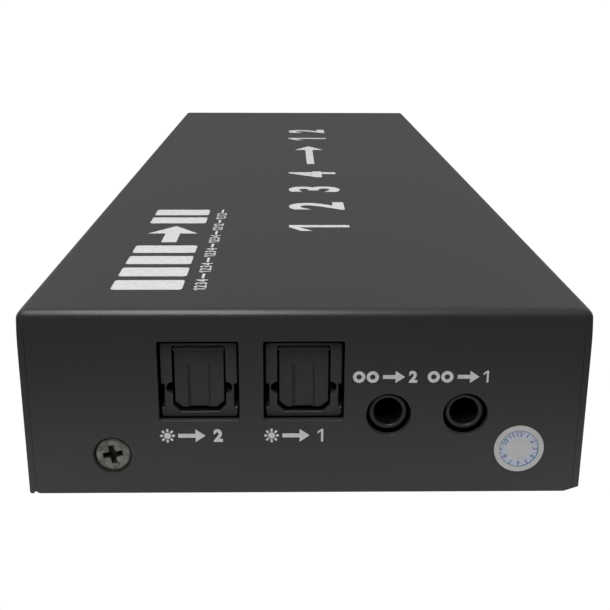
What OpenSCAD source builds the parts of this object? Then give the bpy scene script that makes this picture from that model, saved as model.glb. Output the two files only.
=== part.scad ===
// Video matrix switch: four inputs, two outputs, with optical and
// analogue audio outputs on one end. A folded steel lid drops over a
// base plate that carries one circuit board.
// Millimetres. +Z up, +Y along the length. The audio end is at -Y,
// the control side is at +X and the video ports are at -X.

/* [Case] */
// Length of the lid, from end flap to end flap
case_l = 210; // [208:1:216]
// Width of the lid, from long flap to long flap
case_w = 70; // [70:0.5:74]
// Height of the folded lid
lid_h = 24.5; // [24.5:0.1:26]
// Thickness of the lid's sheet steel
sheet_t = 0.8; // [0.7:0.05:0.85]
// Outer radius of the lid's folds
bend_r = 1.2; // [1.1:0.1:2]
// Thickness of the base plate
base_t = 1.0; // [0.8:0.1:1]
// Gap between an end flap and a long flap
seam = 0.12; // [0.08:0.02:0.3]

/* [Feet] */
// Thickness of a rubber foot
foot_h = 1.5; // [1.5:0.1:3]
// Diameter of a rubber foot
foot_d = 9; // [6:0.5:12]

/* [Optical sockets] */
// Width of the panel cut-out
opt_cut_w = 10; // [9.8:0.1:10.6]
// Height of the panel cut-out
opt_cut_h = 10.4; // [10.2:0.1:10.8]
// Width of the socket housing
opt_w = 9.45; // [9.3:0.05:9.6]
// Height of the socket housing
opt_h = 9.8; // [9.8:0.05:9.9]
// Depth of the socket housing
opt_d = 13.5; // [13.5:0.5:16]
// Width of the plug opening
opt_open_w = 6.6; // [6.5:0.05:6.8]
// Width of the shutter door
door_w = 6.1; // [5.7:0.1:6.1]
// Angle of the shutter door, 0 is shut
door_angle = 0; // [0:5:85]

/* [Audio jacks] */
// Diameter of the jack's bore
jack_bore_d = 3.6; // [3.55:0.05:3.7]
// Diameter of the jack's nose
jack_nose_d = 4.8; // [4.6:0.1:5]
// Diameter of the panel hole
jack_hole_d = 5.6; // [5.4:0.1:6]

/* [Controls] */
// Diameter of a select button
button_d = 3.5; // [3:0.1:3.6]
// Diameter of the power button
power_d = 5.5; // [5:0.1:5.6]
// Diameter of an indicator lamp
lamp_d = 2.9; // [2.8:0.1:3]

/* [Video ports] */
// Width of the port's mouth
port_w = 14.0; // [13.9:0.05:14.2]
// Height of the port's mouth
port_h = 4.55; // [4.5:0.05:4.6]
// Depth of the port's shell
port_d = 11.5; // [11:0.5:13]

/* [Hidden] */

e = 0.5;                      // how far a cutter runs past a face
xo = case_w / 2;              // outer face of the long flaps
yo = case_l / 2;              // outer face of the end flaps
zt = foot_h + lid_h;          // top of the lid
xi = xo - sheet_t;            // inner face of the long flaps
yi = yo - sheet_t;            // inner face of the end flaps
zb = foot_h + base_t;         // upper face of the base plate

pcb_t = 1.6;
pcb_top = foot_h + 10.1;
pcb_bot = pcb_top - pcb_t;
pcb_x = xi - 0.8;
pcb_y = yi - 1.3;

// audio end, measured from the lower edge of the end flap
opt_x = [-0.22, -13.2];
opt_zc = foot_h + 15.25;
opt_y0 = -yi + 0.2;           // front face of the socket housings
opt_z0 = pcb_top + 0.05;
open_z0 = pcb_top + 0.75;
open_z1 = pcb_top + 9.5;
hinge_y = opt_y0 + 0.8;
hinge_z = pcb_top + 8.95;
barrel_r = 0.4;
jack_x = [19.95, 10.35];
jack_z = foot_h + 10.75;
jack_y0 = -yi + 0.2;
screw_z = foot_h + 5.34;
screw_near = [-24.24, 26.6];
screw_far = [-24.5, 24.5];
seal_x = 26.95;
seal_z = foot_h + 6.06;
seal_d = 6.3;
seal_t = 0.1;
flap_top = zt - 3.1;          // where the hanging flap meets the lid

// control side
ctl_z = pcb_top + 3.5;
power_y = -84;
power_lamp_y = -72;
select_y = [-46, 14];
lamp_y = [-34, -26, -18, -10, 26, 34, 42, 50];
mode_y = 68;
mode_z = pcb_top + 2.0;
ir_y = 88;
button_out = 0.9;             // how far a select button stands out
power_out = 1.0;
power_travel = 1.5;
select_travel = 0.3;
mode_travel = 2.0;

// video side
port_x0 = -xi + 0.2;          // mouth of the shells
port_z0 = pcb_top + 0.6;
in_y = [64, 40, 16, -8];
out_y = [-38, -62];
dc_y = 88;
dc_z = pcb_top + 6.5;
dc_x0 = -xi + 0.2;

standoffs = [[-29, -84], [-29, 4], [-29, 77.5], [24, -78], [24, 4], [24, 80]];
feet = [[-27, -94], [27, -94], [-27, 94], [27, 94]];

// a fold-topped outline: width w, height h, upper corners of radius r
module folded_outline(w, h, r) {
    translate([-w / 2, 0]) square([w, h - r]);
    translate([-w / 2 + r, 0]) square([w - 2 * r, h]);
    for (s = [-1, 1]) translate([s * (w / 2 - r), h - r]) circle(r, $fn = 64);
}

// the outline run along the length
module along_y(l, w, h, r) {
    translate([0, l / 2, 0]) rotate([90, 0, 0])
        linear_extrude(l) folded_outline(w, h, r);
}

// the outline run across the width
module along_x(l, w, h, r) {
    rotate([0, 0, 90]) along_y(l, w, h, r);
}

module box(x0, x1, y0, y1, z0, z1) {
    translate([x0, y0, z0]) cube([x1 - x0, y1 - y0, z1 - z0]);
}

// a round bar along X, from x0 to x1
module bar_x(r, x0, x1, y, z, fn = 48) {
    translate([x0, y, z]) rotate([0, 90, 0]) cylinder(r = r, h = x1 - x0, $fn = fn);
}

// a round bar along Y, from y0 to y1
module bar_y(r, y0, y1, x, z, fn = 48) {
    translate([x, y0, z]) rotate([-90, 0, 0]) cylinder(r = r, h = y1 - y0, $fn = fn);
}

// countersink into the flap at -Y (s = -1) or +Y (s = 1)
module countersink(x, z, s) {
    translate([x, s * (yo + 0.2), z]) rotate([s * 90, 0, 0])
        cylinder(r1 = 2.67, r2 = 1.27, h = 1.4, $fn = 48);
    translate([x, s * (yo + 0.2), z]) rotate([s * 90, 0, 0])
        cylinder(r = 1.27, h = 3.2, $fn = 48);
}

module top_cover() {
    color([0.13, 0.13, 0.13]) difference() {
        translate([0, 0, foot_h]) intersection() {
            along_y(case_l, case_w, lid_h, bend_r);
            along_x(case_w, case_l, lid_h, bend_r);
        }
        translate([0, 0, foot_h - e]) intersection() {
            along_y(2 * yi, 2 * xi, lid_h - sheet_t + e, bend_r - sheet_t);
            along_x(2 * xi, 2 * yi, lid_h - sheet_t + e, bend_r - sheet_t);
        }
        // open seams beside the end flaps
        for (sx = [-1, 1], sy = [-1, 1])
            translate([sx * (xi - seam / 2), sy * (yi + sheet_t / 2), foot_h - e + (lid_h - 2.2) / 2])
                cube([seam, sheet_t + 2 * e, lid_h - 2.2], center = true);
        // lower corners of the plain end flap
        translate([0, yo - sheet_t - e, 0]) flap_corners();
        // the flap with the audio connectors hangs here
        box(-xi + seam, xi - seam, -yo - e, -yi + e, foot_h - e, flap_top);
        for (x = screw_far) countersink(x, screw_z, 1);
        // video cut-outs
        for (y = concat(in_y, out_y))
            box(-xo - e, -xi + e, y - port_w / 2 - 0.9, y + port_w / 2 + 0.9,
                port_z0 - 0.7, port_z0 + port_h + 0.7);
        bar_x(4.2, -xo - e, -xi + e, dc_y, dc_z);
        // control side
        bar_x(power_d / 2 + 0.25, xi - e, xo + e, power_y, ctl_z);
        for (y = select_y) bar_x(button_d / 2 + 0.25, xi - e, xo + e, y, ctl_z);
        for (y = concat(lamp_y, [power_lamp_y])) bar_x(lamp_d / 2 + 0.15, xi - e, xo + e, y, ctl_z);
        box(xi - e, xo + e, mode_y - 1.6 - mode_travel / 2, mode_y + 1.6 + mode_travel / 2, mode_z - 1.1, mode_z + 1.1);
        bar_x(2.8, xi - e, xo + e, ir_y, ctl_z);
    }
}

// the hanging part of the end flap that carries the audio connectors,
// one sheet with the lid
module audio_end_flap() {
    color([0.13, 0.13, 0.13]) difference() {
        box(-xi + seam, xi - seam, -yo, -yi, foot_h, flap_top);
        translate([0, -yo - e, 0]) flap_corners();
        // optical cut-outs
        for (x = opt_x)
            box(x - opt_cut_w / 2, x + opt_cut_w / 2, -yo - e, -yi + e,
                opt_zc - opt_cut_h / 2, opt_zc + opt_cut_h / 2);
        // jack holes
        for (x = jack_x) bar_y(jack_hole_d / 2, -yo - e, -yi + e, x, jack_z);
        for (x = screw_near) countersink(x, screw_z, -1);
    }
}

// the two cutters that bevel an end flap's lower corners
module flap_corners() {
    xs = xi - seam;
    rotate([90, 0, 0]) mirror([0, 0, 1]) linear_extrude(sheet_t + 2 * e) {
        polygon([[xs + 0.01, foot_h - e], [xs + 0.01, foot_h + 0.7], [xs - 2, foot_h], [xs - 2, foot_h - e]]);
        polygon([[-xs - 0.01, foot_h - e], [-xs + 0.6, foot_h - e], [-xs + 0.6, foot_h], [-xs - 0.01, foot_h + 0.45]]);
    }
}

module base_plate() {
    tab_top = pcb_bot - 0.2;
    color([0.16, 0.16, 0.17]) difference() {
        union() {
            box(-xi + 0.1, xi - 0.1, -yi + 0.1, yi - 0.1, foot_h, zb);
            for (x = screw_near) box(x - 4, x + 4, -yi + 0.1, -yi + 0.1 + base_t, foot_h, tab_top);
            for (x = screw_far) box(x - 4, x + 4, yi - 0.1 - base_t, yi - 0.1, foot_h, tab_top);
        }
        for (x = screw_near) countersink(x, screw_z, -1);
        for (x = screw_far) countersink(x, screw_z, 1);
        for (p = standoffs) translate([p[0], p[1], foot_h - e]) cylinder(r = 1.65, h = base_t + 2 * e, $fn = 32);
        // cooling slots under the board
        translate([0, 0, foot_h - e]) linear_extrude(base_t + 2 * e)
            for (y = [-32 : 8 : 32]) translate([0, y]) {
                square([16, 2.5], center = true);
                for (s = [-1, 1]) translate([s * 8, 0]) circle(r = 1.25, $fn = 24);
            }
    }
}

// a countersunk cross-recess screw whose head faces the side s
module case_screw(x, s) {
    translate([x, s * yo, screw_z]) rotate([s * 90, 0, 0]) difference() {
        union() {
            translate([0, 0, 0.25]) cylinder(r1 = 2.2, r2 = 1.25, h = 0.95, $fn = 48);
            translate([0, 0, 1.2]) cylinder(r = 1.25, h = 4.3, $fn = 48);
        }
        rotate([0, 0, 8.5]) for (a = [0, 90]) rotate([0, 0, a])
            translate([-1.24, -0.31, 0]) cube([2.48, 0.62, 1.05]);
    }
}

module case_screws() {
    color([0.42, 0.42, 0.4]) {
        for (x = screw_near) case_screw(x, -1);
        for (x = screw_far) case_screw(x, 1);
    }
}

module pcb_standoffs() {
    color([0.78, 0.66, 0.36]) for (p = standoffs) translate([p[0], p[1], 0]) difference() {
        union() {
            translate([0, 0, zb]) cylinder(r = 2.6, h = pcb_bot - zb, $fn = 6);
            translate([0, 0, foot_h + 0.05]) cylinder(r = 1.6, h = base_t, $fn = 32);
        }
        translate([0, 0, pcb_bot - 5.5]) cylinder(r = 1.25, h = 6, $fn = 32);
    }
}

module pcb_screws() {
    color([0.7, 0.7, 0.7]) for (p = standoffs) translate([p[0], p[1], 0]) difference() {
        union() {
            translate([0, 0, pcb_top]) cylinder(r = 2.25, h = 1.4, $fn = 32);
            translate([0, 0, pcb_bot - 4.5]) cylinder(r = 1.2, h = 4.5 + pcb_t, $fn = 32);
        }
        for (a = [0, 90]) rotate([0, 0, a]) translate([-1.3, -0.3, pcb_top + 0.6]) cube([2.6, 0.6, 1]);
    }
}

module seal_sticker() {
    color([0.85, 0.85, 0.85]) bar_y(seal_d / 2, -yo - seal_t, -yo, seal_x, seal_z);
}

module foot(i) {
    color([0.08, 0.08, 0.08]) translate([feet[i][0], feet[i][1], 0]) cylinder(d = foot_d, h = foot_h, $fn = 64);
}

module main_pcb() {
    color([0.06, 0.07, 0.065]) difference() {
        box(-pcb_x, pcb_x, -pcb_y, pcb_y, pcb_bot, pcb_top);
        for (p = standoffs) translate([p[0], p[1], pcb_bot - e]) cylinder(r = 1.4, h = pcb_t + 2 * e, $fn = 32);
        // the jacks are sunk into the board's edge
        for (x = jack_x) box(x - 3.6, x + 3.6, -pcb_y - e, jack_y0 + 13.7, pcb_bot - e, pcb_top + e);
    }
}

// a flat square chip with its row of leads as one skirt
module chip(x, y, w, h) {
    translate([x - w / 2, y - w / 2, pcb_top + 0.1]) cube([w, w, h - 0.1]);
    translate([x - w / 2 - 0.8, y - w / 2 + 1, pcb_top]) cube([w + 1.6, w - 2, 0.2]);
    translate([x - w / 2 + 1, y - w / 2 - 0.8, pcb_top]) cube([w - 2, w + 1.6, 0.2]);
}

module switching_chip() { color([0.1, 0.1, 0.1]) chip(-2, 12, 20, 1.4); }
module thermal_pad() { color([0.6, 0.62, 0.7]) box(-11, 7, 3, 21, pcb_top + 1.4, pcb_top + 2.2); }
module heat_sink() {
    color([0.7, 0.71, 0.73]) {
        box(-16, 12, -2, 26, pcb_top + 2.2, pcb_top + 4.2);
        for (i = [0 : 7]) box(-16 + i * 3.8, -14.6 + i * 3.8, -2, 26, pcb_top + 4.2, pcb_top + 10.2);
    }
}
module control_chip() { color([0.1, 0.1, 0.1]) chip(10, -40, 7, 1.4); }
module audio_chip() { color([0.1, 0.1, 0.1]) chip(0, -70, 9, 1.4); }

module crystal_can() {
    color([0.75, 0.75, 0.75]) translate([-10, -46, pcb_top]) {
        cube([7, 4.6, 3.5]);
        for (s = [0, 1]) translate([s * 7, 2.3, 0]) cylinder(r = 2.3, h = 3.5, $fn = 32);
    }
}

module power_inductor() {
    color([0.2, 0.2, 0.2]) translate([-6, 78, pcb_top]) difference() {
        cube([8, 8, 4]);
        translate([4, 4, 3.6]) cylinder(r = 2.8, h = 1, $fn = 32);
    }
}

module filter_capacitors() {
    color([0.72, 0.73, 0.75]) for (p = [[-14, 66], [-5, 66], [4, 66], [12, -58]])
        translate([p[0], p[1], pcb_top]) {
            translate([-3.3, -3.3, 0]) cube([6.6, 6.6, 0.8]);
            cylinder(r = 3.15, h = 7.2, $fn = 48);
        }
}

module voltage_regulator() {
    color([0.12, 0.12, 0.12]) translate([6, 84, pcb_top]) {
        cube([6.5, 6, 2.2]);
        translate([0.6, 6, 0]) cube([5.3, 2.6, 0.6]);
    }
}

// ---- optical sockets ----

// the plug opening's outline, seen from the front
module plug_outline(w, z0, z1, c) {
    polygon([[-w / 2, z1], [w / 2, z1], [w / 2, z0 + c], [w / 2 - c, z0], [-w / 2 + c, z0], [-w / 2, z0 + c]]);
}

module optical_housing(x) {
    side_z0 = pcb_top + 1.3;
    color([0.19, 0.19, 0.19]) translate([x, 0, 0]) difference() {
        box(-opt_w / 2, opt_w / 2, opt_y0, opt_y0 + opt_d, opt_z0, opt_z0 + opt_h);
        // plug chamber
        translate([0, opt_y0 + 9, 0]) rotate([90, 0, 0]) linear_extrude(9 + e)
            plug_outline(opt_open_w, open_z0, open_z1, 1.0);
        // latch grooves in the chamber's sides
        for (s = [-1, 1]) bar_y(0.85, opt_y0 - e, opt_y0 + 6, s * opt_open_w / 2, pcb_top + 3.9);
        // ferrule hole and emitter pocket
        bar_y(1.3, opt_y0 + 8.9, opt_y0 + 11.6, 0, pcb_top + 4.6);
        box(-3.4, 3.4, opt_y0 + 11.5, opt_y0 + opt_d + e, opt_z0 - e, pcb_top + 9.0);
        // hinge bores and the spring's pocket
        bar_x(0.38, -4.15, -3.2, hinge_y, hinge_z, 32);
        bar_x(0.38, 3.9, 4.4, hinge_y, hinge_z, 32);
        bar_x(0.62, 3.2, 4.0, hinge_y, hinge_z, 32);
        // side reliefs
        for (s = [-1, 1]) box(s * opt_w / 2 - 0.4, s * opt_w / 2 + 0.4, opt_y0 - e, opt_y0 + 5, side_z0, side_z0 + 3.6);
    }
}

// moves a door, modelled shut, to its angle
module swing(x) {
    translate([x, hinge_y, hinge_z]) rotate([door_angle, 0, 0]) translate([0, -hinge_y, -hinge_z]) children();
}

module optical_shutter(x) {
    z0 = pcb_top + 1.3;
    w = door_w / 2;
    color([0.19, 0.19, 0.19]) swing(x) difference() {
        union() {
            translate([0, hinge_y + barrel_r, 0]) rotate([90, 0, 0]) linear_extrude(2 * barrel_r)
                polygon([[-w, hinge_z], [w, hinge_z], [w, z0 + 0.9], [w - 1.05, z0], [-w + 1.05, z0], [-w, z0 + 0.9]]);
            bar_x(barrel_r, -w, w, hinge_y, hinge_z, 32);
            bar_x(0.33, -4.1, 4.35, hinge_y, hinge_z, 32);
        }
        // shallow middle panel
        box(-1.35, 1.35, hinge_y - barrel_r - e, hinge_y - barrel_r + 0.15, z0 - e, z0 + 5.9);
    }
}

module shutter_spring(x) {
    color([0.7, 0.7, 0.7]) swing(x) {
        difference() {
            bar_x(0.55, 3.4, 3.85, hinge_y, hinge_z, 32);
            bar_x(0.37, 3.3, 3.95, hinge_y, hinge_z, 32);
        }
        box(2.2, 3.55, hinge_y + barrel_r, hinge_y + barrel_r + 0.13, hinge_z - 0.15, hinge_z - 0.01);
    }
}

module optical_emitter(x) {
    color([0.12, 0.12, 0.12]) translate([x, 0, 0]) {
        box(-3.3, 3.3, opt_y0 + 11.5, opt_y0 + opt_d + 0.6, pcb_top + 0.6, pcb_top + 8.9);
        bar_y(1.15, opt_y0 + 10.6, opt_y0 + 11.5, 0, pcb_top + 4.6, 32);
        for (i = [-1 : 1]) box(i * 2.3 - 0.25, i * 2.3 + 0.25, opt_y0 + opt_d, opt_y0 + opt_d + 0.4, pcb_top, pcb_top + 0.6);
    }
}

// ---- audio jacks ----

module audio_jack(x) {
    y1 = jack_y0 + 13.5;
    color([0.1, 0.1, 0.1]) translate([x, 0, 0]) difference() {
        union() {
            bar_y(jack_nose_d / 2, jack_y0, jack_y0 + 2, 0, jack_z);
            box(-3.5, 3.5, jack_y0 + 1.5, y1, jack_z - 2.6, jack_z + 2.6);
            box(-4.4, 4.4, jack_y0 + 4, y1 - 2.5, pcb_top, pcb_top + 1);
        }
        bar_y(jack_bore_d / 2, jack_y0 - e, jack_y0 + 5, 0, jack_z);
        bar_y(jack_bore_d / 2 + 0.25, jack_y0 + 5, y1 - 0.8, 0, jack_z);
        // slots for the contact springs
        for (s = [-1, 1]) box(s * 2.3 - 0.45, s * 2.3 + 0.45, jack_y0 + 5.5, y1 - 1.5, jack_z - 0.75, jack_z + 0.75);
    }
}

module audio_jack_contacts(x) {
    y0 = jack_y0 + 6;
    color([0.8, 0.7, 0.45]) translate([x, 0, 0]) {
        for (s = [-1, 1]) box(s * 2.25 - 0.15, s * 2.25 + 0.15, y0, y0 + 5, jack_z - 0.6, jack_z + 0.6);
        // solder tails on the back of the body
        for (i = [-1 : 1]) box(i * 2.2 - 0.5, i * 2.2 + 0.5, jack_y0 + 13.5, jack_y0 + 13.7, pcb_top, pcb_top + 2);
    }
}

// ---- video ports ----

// outline of the mouth, seen along X: y to the right, z up
module port_outline(g) {
    w = port_w / 2 + g;
    n = 5.0 + g * 0.4;
    polygon([[-w, port_h + g], [w, port_h + g], [w, 1.95 - g * 0.4], [n, -g], [-n, -g], [-w, 1.95 - g * 0.4]]);
}

// stands an outline up across X and runs it from x0 to x1
module port_run(y, x0, x1) {
    translate([x0, y, port_z0]) rotate([90, 0, 90]) linear_extrude(x1 - x0) children();
}

module video_shell(y) {
    color([0.72, 0.72, 0.73]) {
        difference() {
            port_run(y, port_x0, port_x0 + port_d) port_outline(0.3);
            port_run(y, port_x0 - e, port_x0 + port_d + e) port_outline(0);
        }
        // legs that stand on the board
        for (s = [-1, 1], x = [3, 8]) translate([port_x0 + x, y + s * (port_w / 2 + 0.45) - 0.15, pcb_top]) cube([1.6, 0.3, 3.2]);
    }
}

module video_insulator(y) {
    color([0.12, 0.12, 0.12]) {
        port_run(y, port_x0 + 7.5, port_x0 + port_d - 0.1) port_outline(-0.05);
        box(port_x0 + 0.8, port_x0 + 7.6, y - 5.6, y + 5.6, port_z0 + 1.95, port_z0 + 2.95);
    }
}

module video_contacts() {
    color([0.85, 0.7, 0.35]) for (y = concat(in_y, out_y)) {
        for (i = [0 : 9]) box(port_x0 + 1.1, port_x0 + 7.2, y - 4.5 + i - 0.22, y - 4.5 + i + 0.22, port_z0 + 2.95, port_z0 + 3.03);
        for (i = [0 : 8]) box(port_x0 + 1.1, port_x0 + 7.2, y - 4 + i - 0.22, y - 4 + i + 0.22, port_z0 + 1.87, port_z0 + 1.95);
    }
}

// ---- DC inlet ----

module dc_inlet_body() {
    color([0.1, 0.1, 0.1]) difference() {
        box(dc_x0, dc_x0 + 14, dc_y - 4.5, dc_y + 4.5, pcb_top, pcb_top + 11);
        bar_x(3.15, dc_x0 - e, dc_x0 + 9.5, dc_y, dc_z);
        bar_x(1.02, dc_x0 + 9, dc_x0 + 12.5, dc_y, dc_z, 32);
    }
}

module dc_inlet_pin() {
    color([0.75, 0.75, 0.75]) {
        bar_x(1.0, dc_x0 + 1, dc_x0 + 12.4, dc_y, dc_z, 32);
    }
}

// ---- controls ----

module power_switch_body() {
    color([0.85, 0.85, 0.82]) difference() {
        box(xo - 11, xo - 1.5 - power_travel, power_y - 3.5, power_y + 3.5, pcb_top, pcb_top + 7);
        bar_x(1.55, xo - 6.1 - power_travel, xo - 1.5 - power_travel + e, power_y, ctl_z);
    }
}

module power_button() {
    color([0.09, 0.09, 0.09]) {
        bar_x(power_d / 2, xo - 1.3, xo + power_out, power_y, ctl_z);
        bar_x(1.5, xo - 6.0, xo - 1.3, power_y, ctl_z);
    }
}

module select_switch_body(y) {
    color([0.15, 0.15, 0.15]) difference() {
        box(xo - 7.1, xo - 1.6, y - 3.1, y + 3.1, pcb_top, pcb_top + 6.5);
        bar_x(button_d / 2 + 0.05, xo - 3.7 - select_travel, xo - 1.6 + e, y, ctl_z);
    }
}

module select_button(y) {
    color([0.09, 0.09, 0.09]) bar_x(button_d / 2, xo - 3.6, xo + button_out, y, ctl_z);
}

module mode_switch_body() {
    color([0.6, 0.6, 0.62]) difference() {
        box(xo - 6.6, xo - 1.8, mode_y - 4.3, mode_y + 4.3, pcb_top, pcb_top + 4);
        box(xo - 4.1, xo - 1.8 + e, mode_y - 1.5 - mode_travel / 2, mode_y + 1.5 + mode_travel / 2, mode_z - 0.75, mode_z + 0.75);
    }
}

module mode_switch_knob() {
    color([0.09, 0.09, 0.09]) box(xo - 3.6, xo + 0.6, mode_y - 1.25 - mode_travel / 2, mode_y + 1.25 - mode_travel / 2, mode_z - 0.7, mode_z + 0.7);
}

// a lamp lying on its side with its legs bent down to the board
module lamp(y) {
    r = lamp_d / 2;
    bar_x(r, xo - 4.4, xo - 1.0, y, ctl_z, 32);
    translate([xo - 1.0, y, ctl_z]) sphere(r, $fn = 32);
    bar_x(r + 0.25, xo - 5, xo - 4.2, y, ctl_z, 32);
    for (s = [-1, 1]) {
        box(xo - 6.2, xo - 5, y + s * 0.9 - 0.2, y + s * 0.9 + 0.2, ctl_z - 0.2, ctl_z + 0.2);
        box(xo - 6.2, xo - 5.8, y + s * 0.9 - 0.2, y + s * 0.9 + 0.2, pcb_top, ctl_z);
    }
}

module indicator_lamps() { color([0.75, 0.78, 0.8]) for (y = lamp_y) lamp(y); }
module power_lamp() { color([0.8, 0.2, 0.15]) lamp(power_lamp_y); }

module infrared_receiver() {
    color([0.16, 0.05, 0.06]) {
        box(xo - 6.2, xo - 3.2, ir_y - 3.1, ir_y + 3.1, pcb_top + 0.4, pcb_top + 7);
        bar_x(2.45, xo - 3.2, xo - 2.0, ir_y, ctl_z);
        translate([xo - 2.0, ir_y, ctl_z]) intersection() {
            sphere(2.45, $fn = 48);
            translate([0, -3, -3]) cube([6, 6, 6]);
        }
        for (i = [-1 : 1]) box(xo - 4.8, xo - 4.4, ir_y + i * 2.3 - 0.25, ir_y + i * 2.3 + 0.25, pcb_top, pcb_top + 0.4);
    }
}

top_cover();
audio_end_flap();
base_plate();
case_screws();
pcb_standoffs();
pcb_screws();
seal_sticker();
foot(0);  // foot_1
foot(1);  // foot_2
foot(2);  // foot_3
foot(3);  // foot_4
main_pcb();
switching_chip();
thermal_pad();
heat_sink();
control_chip();
audio_chip();
crystal_can();
power_inductor();
filter_capacitors();
voltage_regulator();
optical_housing(opt_x[0]);  // optical_housing_1
optical_housing(opt_x[1]);  // optical_housing_2
optical_shutter(opt_x[0]);  // optical_shutter_1
optical_shutter(opt_x[1]);  // optical_shutter_2
shutter_spring(opt_x[0]);  // shutter_spring_1
shutter_spring(opt_x[1]);  // shutter_spring_2
optical_emitter(opt_x[0]);  // optical_emitter_1
optical_emitter(opt_x[1]);  // optical_emitter_2
audio_jack(jack_x[0]);  // audio_jack_1
audio_jack(jack_x[1]);  // audio_jack_2
audio_jack_contacts(jack_x[0]);  // audio_jack_contacts_1
audio_jack_contacts(jack_x[1]);  // audio_jack_contacts_2
video_shell(in_y[0]);  // video_input_shell_1
video_shell(in_y[1]);  // video_input_shell_2
video_shell(in_y[2]);  // video_input_shell_3
video_shell(in_y[3]);  // video_input_shell_4
video_shell(out_y[0]);  // video_output_shell_1
video_shell(out_y[1]);  // video_output_shell_2
video_insulator(in_y[0]);  // video_input_insulator_1
video_insulator(in_y[1]);  // video_input_insulator_2
video_insulator(in_y[2]);  // video_input_insulator_3
video_insulator(in_y[3]);  // video_input_insulator_4
video_insulator(out_y[0]);  // video_output_insulator_1
video_insulator(out_y[1]);  // video_output_insulator_2
video_contacts();
dc_inlet_body();
dc_inlet_pin();
power_switch_body();
power_button();
select_switch_body(select_y[0]);  // output_1_switch_body
select_button(select_y[0]);  // output_1_button
select_switch_body(select_y[1]);  // output_2_switch_body
select_button(select_y[1]);  // output_2_button
mode_switch_body();
mode_switch_knob();
indicator_lamps();
power_lamp();
infrared_receiver();
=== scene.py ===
"""Looks of the matrix switch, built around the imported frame.

Lengths in this file are millimetres until a piece is finished, when its mesh
is scaled to metres. +Z is up, +Y runs along the length, the audio end is at -Y.
"""
import math

import bmesh
import bpy
from mathutils import Matrix, Vector


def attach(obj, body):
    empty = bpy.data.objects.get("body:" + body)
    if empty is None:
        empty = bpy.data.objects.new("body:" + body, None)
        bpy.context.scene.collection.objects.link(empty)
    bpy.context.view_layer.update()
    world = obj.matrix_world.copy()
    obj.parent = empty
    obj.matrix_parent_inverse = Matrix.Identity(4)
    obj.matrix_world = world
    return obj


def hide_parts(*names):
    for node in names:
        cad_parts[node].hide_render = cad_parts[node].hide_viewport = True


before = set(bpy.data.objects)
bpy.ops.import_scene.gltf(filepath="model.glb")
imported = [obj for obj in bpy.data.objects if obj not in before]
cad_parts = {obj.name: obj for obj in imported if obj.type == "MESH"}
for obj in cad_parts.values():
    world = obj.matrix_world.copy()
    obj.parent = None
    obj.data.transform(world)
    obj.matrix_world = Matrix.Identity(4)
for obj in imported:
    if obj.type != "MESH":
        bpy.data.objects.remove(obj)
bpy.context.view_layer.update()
SCENE = bpy.context.scene
MM = 0.001

# ---------------------------------------------------------------- camera
PITCH, YAW, ROLL = (math.radians(a) for a in (17.49, 1.03, 0.23))
fwd = Vector((math.sin(YAW) * math.cos(PITCH), math.cos(YAW) * math.cos(PITCH), -math.sin(PITCH)))
right0 = Vector((math.cos(YAW), -math.sin(YAW), 0))
up0 = right0.cross(fwd)
right = right0 * math.cos(ROLL) + up0 * math.sin(ROLL)
up = up0 * math.cos(ROLL) - right0 * math.sin(ROLL)
cam_data = bpy.data.cameras.new("camera")
cam_data.sensor_width = 36.0
cam_data.lens = 57.85
cam_data.clip_start = 0.01
cam_data.clip_end = 100.0
cam = bpy.data.objects.new("camera", cam_data)
SCENE.collection.objects.link(cam)
cam.matrix_world = Matrix((
    (right.x, up.x, -fwd.x, -2.15 * MM),
    (right.y, up.y, -fwd.y, -217.17 * MM),
    (right.z, up.z, -fwd.z, 61.96 * MM),
    (0, 0, 0, 1)))
SCENE.camera = cam
SCENE.view_settings.view_transform = "Standard"

# ---------------------------------------------------------------- 2-D outlines


def circle(cx, cy, r, n=64, start=0.0):
    return [(cx + r * math.cos(start + 2 * math.pi * i / n), cy + r * math.sin(start + 2 * math.pi * i / n))
            for i in range(n)]


def fillet(pts, r, n=5):
    """Rounds each corner of a polygon; r is one radius or one for each corner."""
    radii = r if isinstance(r, (list, tuple)) else [r] * len(pts)
    out = []
    for i, p in enumerate(pts):
        p0, p1, p2 = Vector(pts[i - 1]), Vector(p), Vector(pts[(i + 1) % len(pts)])
        a, b = p0 - p1, p2 - p1
        la, lb = a.length, b.length
        a, b = a / la, b / lb
        ang = math.acos(max(-1, min(1, a.dot(b))))
        if radii[i] <= 0 or ang > math.pi - 0.01:
            out.append((p1.x, p1.y))
            continue
        t = min(radii[i] / math.tan(ang / 2), 0.49 * la, 0.49 * lb)
        rr = t * math.tan(ang / 2)
        c = p1 + (a + b).normalized() * rr / math.sin(ang / 2)
        s, e = p1 + a * t - c, p1 + b * t - c
        a0, a1 = math.atan2(s.y, s.x), math.atan2(e.y, e.x)
        d = (a1 - a0 + math.pi) % (2 * math.pi) - math.pi
        out += [(c.x + rr * math.cos(a0 + d * k / n), c.y + rr * math.sin(a0 + d * k / n)) for k in range(n + 1)]
    return out


def rrect(x0, x1, y0, y1, r=0.0, n=5):
    return fillet([(x0, y0), (x1, y0), (x1, y1), (x0, y1)], r, n)


def grow(pts, d):
    """Offsets an anticlockwise outline outwards by d."""
    if abs(d) < 1e-9:
        return list(pts)
    out = []
    for i, (x1, y1) in enumerate(pts):
        x0, y0 = pts[i - 1]
        x2, y2 = pts[(i + 1) % len(pts)]
        ax, ay, bx, by = x1 - x0, y1 - y0, x2 - x1, y2 - y1
        la, lb = math.hypot(ax, ay) or 1e-9, math.hypot(bx, by) or 1e-9
        n1x, n1y, n2x, n2y = ay / la, -ax / la, by / lb, -bx / lb
        k = max(1 + n1x * n2x + n1y * n2y, 0.3)
        out.append((x1 + (n1x + n2x) / k * d, y1 + (n1y + n2y) / k * d))
    return out


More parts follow.
